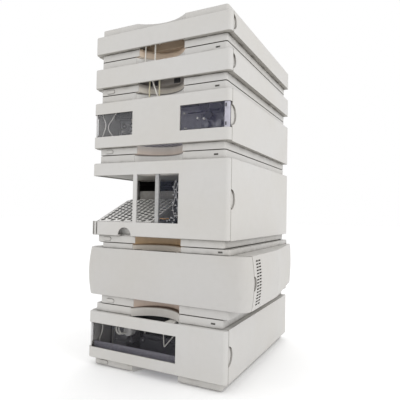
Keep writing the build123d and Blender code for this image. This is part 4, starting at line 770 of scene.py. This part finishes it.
# ---------------------------------------------------------------- pump
def dress_pump():
    """Chassis panel, wire ducts, leak tray, valve and head fittings, tubes and capillaries."""
    valve_low, valve_high = place_of("mixing_valve")
    plate = valve_high.y
    panel = Form()
    panel.slab((-168.5, 168.5), (plate - 1.6, plate - 0.1), (501, 599), 0.4)
    for z in (512, 590):
        panel.slab((-166, 166), (plate - 3.2, plate - 1.5), (z - 1.5, z + 1.5), 0.8)
    panel.made("pump_chassis_panel", CHASSIS, "stack", "valve_plastic")
    duct = Form()
    duct.slab((-168, -70), (plate - 24, plate - 2), (580, 599), 1.5)
    duct.slab((26, 66), (plate - 3.4, plate - 1.5), (583, 585), 0.6)
    duct.made("pump_wire_ducts", DARK, "stack", "dark_plastic")
    hood = Form()
    hood.slab((64, 168), (plate - 20, plate - 2), (584, 599), 1.5)
    hood.made("pump_wire_hood", SLATE, "stack", "dark_plastic")
    sump = Form()
    for index in range(24):
        x = -165 + index * 14
        sump.slab((x, x + 9), (SEAM + 3, plate - 6), (500.1, 501.6), 0.5)
    sump.slab((-168, 168), (SEAM + 1, SEAM + 3), (500.1, 503.5), 0.6)
    sump.made("pump_leak_tray", SUMP, "stack", "dark_plastic")

    caps, fittings, tubes = Form(), Form(), Form()
    middle_x = (valve_low.x + valve_high.x) / 2
    middle_z = (valve_low.z + valve_high.z) / 2
    for side in (-1, 1):
        for level in (-1, 1):
            x, z = middle_x + side * 11, middle_z + level * 8.5
            caps.turned([(5.4, -1.4), (6.3, -1.0), (6.3, 0.4)], (x, valve_low.y, z), "y", 28)
            fittings.turned([(1.6, -2.4), (2.1, -2.1), (2.1, -1.2)], (x, valve_low.y, z), "y", 6)
    for x in (-1, 1):
        for z in (-1, 1):
            fittings.screw((middle_x + x * 19.5, valve_low.y + 12, middle_z + z * 14.5), -1, 1.6)
    caps.made("valve_coil_caps", DARK, "stack", "dark_plastic")
    tubes.bent([
        (-164, -198, 590), (-157, -202, 573), (-149.5, -203, 559), (-149.5, -203, 547),
        (-158, -202, 527), (-165, -198, 506),
    ], 1.2)
    tubes.bent([
        (-127, -189, 588), (-137, -195, 567), (-145.5, -196, 555), (-145.5, -196, 543),
        (-136, -195, 530), (-126, -189, 508),
    ], 1.2)
    tubes.bent([
        (valve_high.x, -150, 540), (-84, -156, 540), (-72, -170, 548), (-66, -176, 566), (-70, -170, 584),
    ], 1.0)
    tubes.bent([
        (-31, -186, 658), (-25.8, -198, 650), (-21.6, -198, 638), (-16, -198, 624.5),
        (-10.8, -198, 611), (-9, -193, 598),
    ], 1.5)
    tubes.made("mixing_tubes", WHITE_TUBE, "stack", "tube_plastic")
    fittings.turned([(3.4, -8), (3.8, -7.4), (3.8, 0)], (-119.5, -166, 540.5), "y", 6)
    fittings.turned([(2.4, -13), (2.7, -12.5), (2.7, -8)], (-119.5, -166, 540.5), "y", 16)
    fittings.made("valve_fittings", PALE, "stack", "tube_plastic")

    steel, lines = Form(), Form()
    front = -159.5
    for x in (-24, 24):
        for z in (-16, 16):
            steel.turned([(3.2, -3.4), (3.5, -3.0), (3.5, 0.2)], (108 + x, front, 549 + z), "y", 24)
            steel.turned([(1.5, -3.5), (1.7, -3.3)], (108 + x, front, 549 + z), "y", 6)
    for x in (93.5, 122.5):
        steel.turned([(7.6, -1.2), (8.4, -0.8), (8.4, 0.2)], (x, front - 10, 543.75), "y", 32)
        steel.turned([(6.2, 0), (6.2, 9.0), (5.6, 9.8)], (x, -146, 570), "z", 6)
        steel.turned([(3.0, 9.6), (3.0, 13)], (x, -146, 570), "z", 20)
        steel.turned([(5.6, -9.8), (6.2, -9.0), (6.2, 0)], (x, -146, 528), "z", 6)
        steel.turned([(3.0, -13), (3.0, -9.6)], (x, -146, 528), "z", 20)
    steel.made("pump_head_fittings", DULL_STEEL, "stack", "steel")
    lines.bent([
        (93.5, -146, 582), (93.5, -147, 589), (100, -152, 593), (116, -152, 593),
        (122.5, -147, 589), (122.5, -146, 582),
    ], 0.8)
    lines.bent([
        (122.5, -146, 516), (122.5, -150, 509), (108, -158, 506), (82, -160, 509),
        (66, -156, 524), (58, -148, 548),
    ], 0.8)
    lines.bent([
        (137, -140, 549), (148, -146, 549), (153, -156, 538), (151, -160, 516), (150, -160, 503),
    ], 0.8)
    lines.made("pump_capillaries", STEEL, "stack", "steel")
    ends = Form()
    for x, z in ((51.6, 567), (88, 552.5), (103, 550), (55, 534)):
        place = (x, -186 if x > 80 else -180, z)
        ends.turned([(1.5, -9), (2.3, -8.4), (2.3, -3.0), (1.5, -2.4), (1.5, 0)], place, "y", 12)
    ends.made("pump_tube_ends", WHITE_TUBE, "stack", "tube_plastic")


# ---------------------------------------------------------------- covers, with painted highlights on the window corners
# Plan and heights of the strips that paint highlights on the panes' rounded corners.
HIGHLIGHT_CENTRE_INSET = 8
HIGHLIGHT_OUTER_RADIUS = 5.7
HIGHLIGHT_INNER_RADIUS = 5.05
HIGHLIGHT_STEPS = 8
PUMP_HIGHLIGHT_HEIGHTS = (523.3, 576.2)
DETECTOR_HIGHLIGHT_HEIGHTS = (41.4, 97.1)


def corner_strip(side, reach):
    """Plan outline of a thin strip, a painted highlight, that hugs the outside of a pane's corner."""
    centre_x, centre_y = side * (SIDE - HIGHLIGHT_CENTRE_INSET), FRONT + HIGHLIGHT_CENTRE_INSET
    outer, inner = [], []
    for index in range(HIGHLIGHT_STEPS + 1):
        angle = (pi / 2) * index / HIGHLIGHT_STEPS
        for arc, radius in ((outer, HIGHLIGHT_OUTER_RADIUS), (inner, HIGHLIGHT_INNER_RADIUS)):
            arc.append((centre_x + side * radius * sin(angle), centre_y - radius * cos(angle)))
    start = centre_x - side * reach
    first = (start, centre_y - HIGHLIGHT_OUTER_RADIUS)
    last = (start, centre_y - HIGHLIGHT_INNER_RADIUS)
    return [first, *outer, *inner[::-1], last]


def dress_covers():
    """Pale and lavender strips that paint the highlights on the windows' rounded corners, and the windows'
    catches.
    """
    # Painted highlight: pale strip on the pump's left window corner.
    pale = Form()
    pale.swept(corner_strip(-1, 0.5), PUMP_HIGHLIGHT_HEIGHTS)
    pale.made("pump_window_left_highlight", PALE, "pump_cover", "cover_plastic")
    # Painted highlight: lavender strip on the pump's right window corner.
    violet = Form()
    violet.swept(corner_strip(1, 4.5), PUMP_HIGHLIGHT_HEIGHTS)
    violet.made("pump_window_right_highlight", LAVENDER, "pump_cover", "cover_plastic")
    catches = Form()
    for z in (531, 568):
        catches.slab((161.6, 164.2), (FRONT + 1.4, FRONT + 2.6), (z - 3.6, z + 3.6), 0.5)
    catches.made("pump_window_catches", DARK, "pump_cover", "dark_plastic")
    # Painted highlight: pale strip on the detector's left window corner.
    corner = Form()
    corner.swept(corner_strip(-1, 0.2), DETECTOR_HIGHLIGHT_HEIGHTS)
    corner.made("detector_window_highlight", PALE, "detector_cover", "cover_plastic")


# ---------------------------------------------------------------- autosampler
def dress_injection_valve():
    """Shade above the back panel, then the valve's ring and port nuts and the capillaries."""
    back = -30.0
    shade = Form()
    shade.slab((-169, 169), (back - 0.9, back - 0.1), (408.2, 434), 0.2)
    shade.made("sampler_back_shade", SHADE, "stack", "dark_plastic")
    valve_x, valve_z, front = 112.0, 360.0, -172.0
    ring, nuts, lines = Form(), Form(), Form()
    ring.turned([(16.2, -1.4), (17.4, -0.8), (17.4, 0.2)], (valve_x, front, valve_z), "y", 40)
    ring.made("valve_stator_ring", STEEL, "stack", "steel")
    ends = []
    for index in range(6):
        angle = 2 * pi * index / 6
        x, z = valve_x + 11 * cos(angle), valve_z + 11 * sin(angle)
        nuts.turned([(2.7, -4.6), (3.1, -4.2), (3.1, -0.2)], (x, front - 5, z), "y", 6)
        nuts.turned([(1.5, -8.6), (1.8, -8.2), (1.8, -4.4)], (x, front - 5, z), "y", 16)
        ends.append((x, front - 12, z))
    nuts.made("valve_port_nuts", STEEL, "stack", "steel")
    for start, end, bulge in ((0, 1, 8), (2, 3, 10), (4, 5, 9)):
        a, b = Vector(ends[start]), Vector(ends[end])
        middle = (a + b) / 2
        outward = Vector((middle.x - valve_x, 0, middle.z - valve_z)).normalized() * bulge
        lines.bent([a, a + Vector((0, -5, 0)) + outward * 0.3, middle + outward + Vector((0, -9, 0)),
                    b + Vector((0, -5, 0)) + outward * 0.3, b], 0.7)
    lines.bent([(40, -150, 408), (52, -178, 404), (70, -188, 392), (88, -190, 380), (101, -184, 371)], 0.7)
    lines.made("sampler_capillaries", STEEL, "stack", "steel")


def dress_sampling_unit():
    """Guard, tubes, seat clamp, bracket and tube bundle round the needle."""
    unit, pale, brass = Form(), Form(), Form()
    unit.slab((49, 84), (-171, -163), (318, 426), 1.5)
    unit.slab((54, 78), (-174, -170), (336, 352), 1.0)
    unit.slab((54, 78), (-174, -170), (392, 412), 1.0)
    unit.made("sampling_unit_guard", DARK, "stack", "dark_plastic")
    pale.bent([
        (50, -178, 414), (46, -190, 402), (52, -194, 386), (48, -190, 368), (53, -186, 350), (50, -180, 332),
    ], 1.1)
    pale.turned([(2.6, -5), (3.0, -4.6), (3.0, 0)], (56, -174, 372), "y", 6)
    pale.turned([(2.6, -5), (3.0, -4.6), (3.0, 0)], (60, -174, 344), "y", 6)
    pale.made("sampling_unit_tubes", WHITE_TUBE, "stack", "tube_plastic")
    brass.ringed([(2.4, 0), (5.0, 0), (5.4, 0.5), (5.4, 4.2), (4.6, 5.0), (2.4, 5.0)], (35.6, -141, 326), "z")
    brass.bent([(-9, -181, 336), (-2, -183, 338), (7, -183, 337), (16, -181, 338.5)], 1.5)
    brass.made("seat_clamp", BRASS, "stack", "steel")
    lock = Form()
    lock.slab((-12, 24), (-187, -172), (300.2, 334), 1.5)
    lock.slab((37, 61), (-199, -188), (318, 421), 2.5)
    lock.slab((28, 46), (-202, -190), (300.2, 338), 1.5)
    lock.made("sampler_bracket", DARK, "stack", "dark_plastic")
    bundle = Form()
    bundle.bent([(44, -200, 424), (39, -202, 405), (43, -202, 386), (37, -202, 364), (41, -200, 341)], 0.7)
    bundle.bent([(52, -200, 424), (48, -202, 410), (45, -202, 392), (50, -202, 370), (46, -200, 341)], 0.7)
    for index in range(15):
        z = 418 - index * 5.6
        x = 43 + 6.5 * sin(index * 2.1)
        bundle.slab((x - 1.8, x + 1.8), (-202.6, -198.6), (z - 1.2, z + 1.2), 0.5)
    for x, z in ((24, 334), (30.5, 336), (34, 341), (41.5, 336), (44, 345), (38, 330)):
        bundle.turned([(1.4, -3.4), (2.0, -3.0), (2.0, 0)], (x, -200, z), "y", 6)
    bundle.made("sampler_tube_bundle", PALE, "stack", "tube_plastic")


def dress_gripper():
    """Soft pads on the insides of the two fingers."""
    for side, name in ((-1, "left"), (1, "right")):
        tip_low, tip_high = place_of(f"gripper_finger_{name}")
        inner = tip_high.x if side < 0 else tip_low.x
        pad = Form()
        pad.slab(sorted((inner - side * 0.7, inner + side * 0.1)), (tip_low.y + 1, tip_high.y - 1),
                 (tip_low.z + 0.8, tip_low.z + 4.6), 0.25)
        pad.made(f"gripper_pad_{name}", DARK, f"gripper_finger_{name}", "dark_plastic")


# ---------------------------------------------------------------- column oven
def dress_oven():
    """Screws and ribs of the heater blocks."""
    low, high = place_of("heater_blocks")
    screws, ribs = Form(), Form()
    for x in (low.x + 8, -1, 27, high.x - 8):
        for z in (low.z + 8, high.z - 8):
            screws.screw((x, low.y + 0.1, z), -1, 3.0)
    screws.made("heater_screws", STEEL, "stack", "steel")
    for index in range(9):
        z = low.z + 16 + index * 6
        ribs.slab((24, high.x - 18), (low.y - 1.1, low.y + 0.2), (z - 1, z + 1), 0.5)
    ribs.made("heater_ribs", ALUMINIUM, "stack", "aluminium")


# ---------------------------------------------------------------- detector
def dress_detector():
    """Panels, leak tray, tubes, flow cell and optics details, and the tube guide in the scallop."""
    plate = -134.5
    cell_front = plate - 30
    panel = Form()
    panel.slab((-168.5, 168.5), (plate - 1.6, plate - 0.1), (20.5, 119.5), 0.4)
    panel.slab((-20, -10), (plate - 6, plate - 1.5), (62, 112), 1.5)
    panel.made("detector_chassis_panel", DARK, "stack", "dark_plastic")
    side = Form()
    side.slab((-168, -124), (plate - 3.6, plate - 1.5), (24, 116), 1.2)
    side.made("detector_side_plate", CHASSIS, "stack", "valve_plastic")
    sump = Form()
    sump.slab((-168, 168), (SEAM + 2, SEAM + 5), (20.1, 51), 1.2)
    sump.slab((-168, 168), (SEAM + 5, plate - 24), (20.1, 21.6), 0.5)
    sump.made("detector_leak_tray", SUMP, "stack", "dark_plastic")
    tubes = Form()
    tubes.bent([
        (-157, -184, 101), (-154, -190, 89), (-152.5, -191, 77), (-156, -191, 65),
        (-161.5, -190, 52), (-163, -187, 38),
    ], 1.3)
    tubes.bent([(-112, -178, 101), (-106, -198, 92), (-104, -202, 83), (-98, -201, 76), (-92, -190, 75)], 2.1)
    tubes.bent([(-104, -178, 100), (-99, -198, 91), (-95.5, -202, 83), (-90, -201, 77), (-86, -190, 76)], 1.9)
    tubes.bent([
        (13.5, -188, 92), (13.8, -190, 84), (15, -190, 70), (16.5, -190, 62),
        (22, -190, 68), (33, -190, 81), (40, -186, 90),
    ], 1.3)
    tubes.made("detector_white_tubes", WHITE_TUBE, "stack", "tube_plastic")
    cell, screws = Form(), Form()
    cell.turned([(8.4, -12.2), (10.2, -11.6), (10.6, -10.0), (10.6, -0.2)], (-102, cell_front, 66), "y", 36)
    for index in range(18):
        angle = 2 * pi * index / 18
        x, z = -102 + 11 * cos(angle), 66 + 11 * sin(angle)
        cell.turned([(0.9, -9.6), (0.9, -1.0)], (x, cell_front, z), "y", 8)
    cell.made("flow_cell_knob_grip", GREY, "stack", "valve_plastic")
    round_cap = Form()
    round_cap.turned([(8.2, -3.4), (11.0, -2.4), (11.8, 0), (11.8, 12)], (-83, -186, 80.5), "y", 40)
    round_cap.turned([(4.0, -4.2), (4.8, -3.6), (4.8, -2.8)], (-83, -186, 80.5), "y", 24)
    round_cap.turned([(6.0, 11), (6.0, 50)], (-83, -186, 80.5), "y", 24)
    round_cap.made("detector_lamp_socket", PALE, "stack", "valve_plastic")
    for x in (-132, -92):
        for z in (50, 82):
            screws.screw((x, cell_front, z), -1, 2.0)
    for x in (-62, 40, 142):
        for z in (27, 55):
            screws.screw((x, plate - 21.8, z), -1, 2.4)
    screws.made("detector_screws", STEEL, "stack", "steel")
    optics = Form()
    optics.slab((40, 70), (plate - 40, plate - 21), (60, 84), 2.0)
    optics.slab((-60, 30), (plate - 24, plate - 21), (62, 70), 1.0)
    optics.made("detector_shutter_box", DEEP_SLATE, "stack", "valve_plastic")
    guide = Form()
    outline = []
    for index in range(13):
        angle = pi * index / 12
        outline.append((33 - 11.5 * cos(angle), -198 - 9 * sin(angle)))
    outline += [(43, -178), (23, -178)]
    guide.swept(outline, (114.6, 118.4))
    guide.made("detector_tube_guide", IVORY, "stack", "cover_plastic")


dress_nodes()
make_camera()
make_studio()
dress_rear()
dress_degasser()
dress_pump()
dress_covers()
dress_injection_valve()
dress_sampling_unit()
dress_gripper()
dress_oven()
dress_detector()
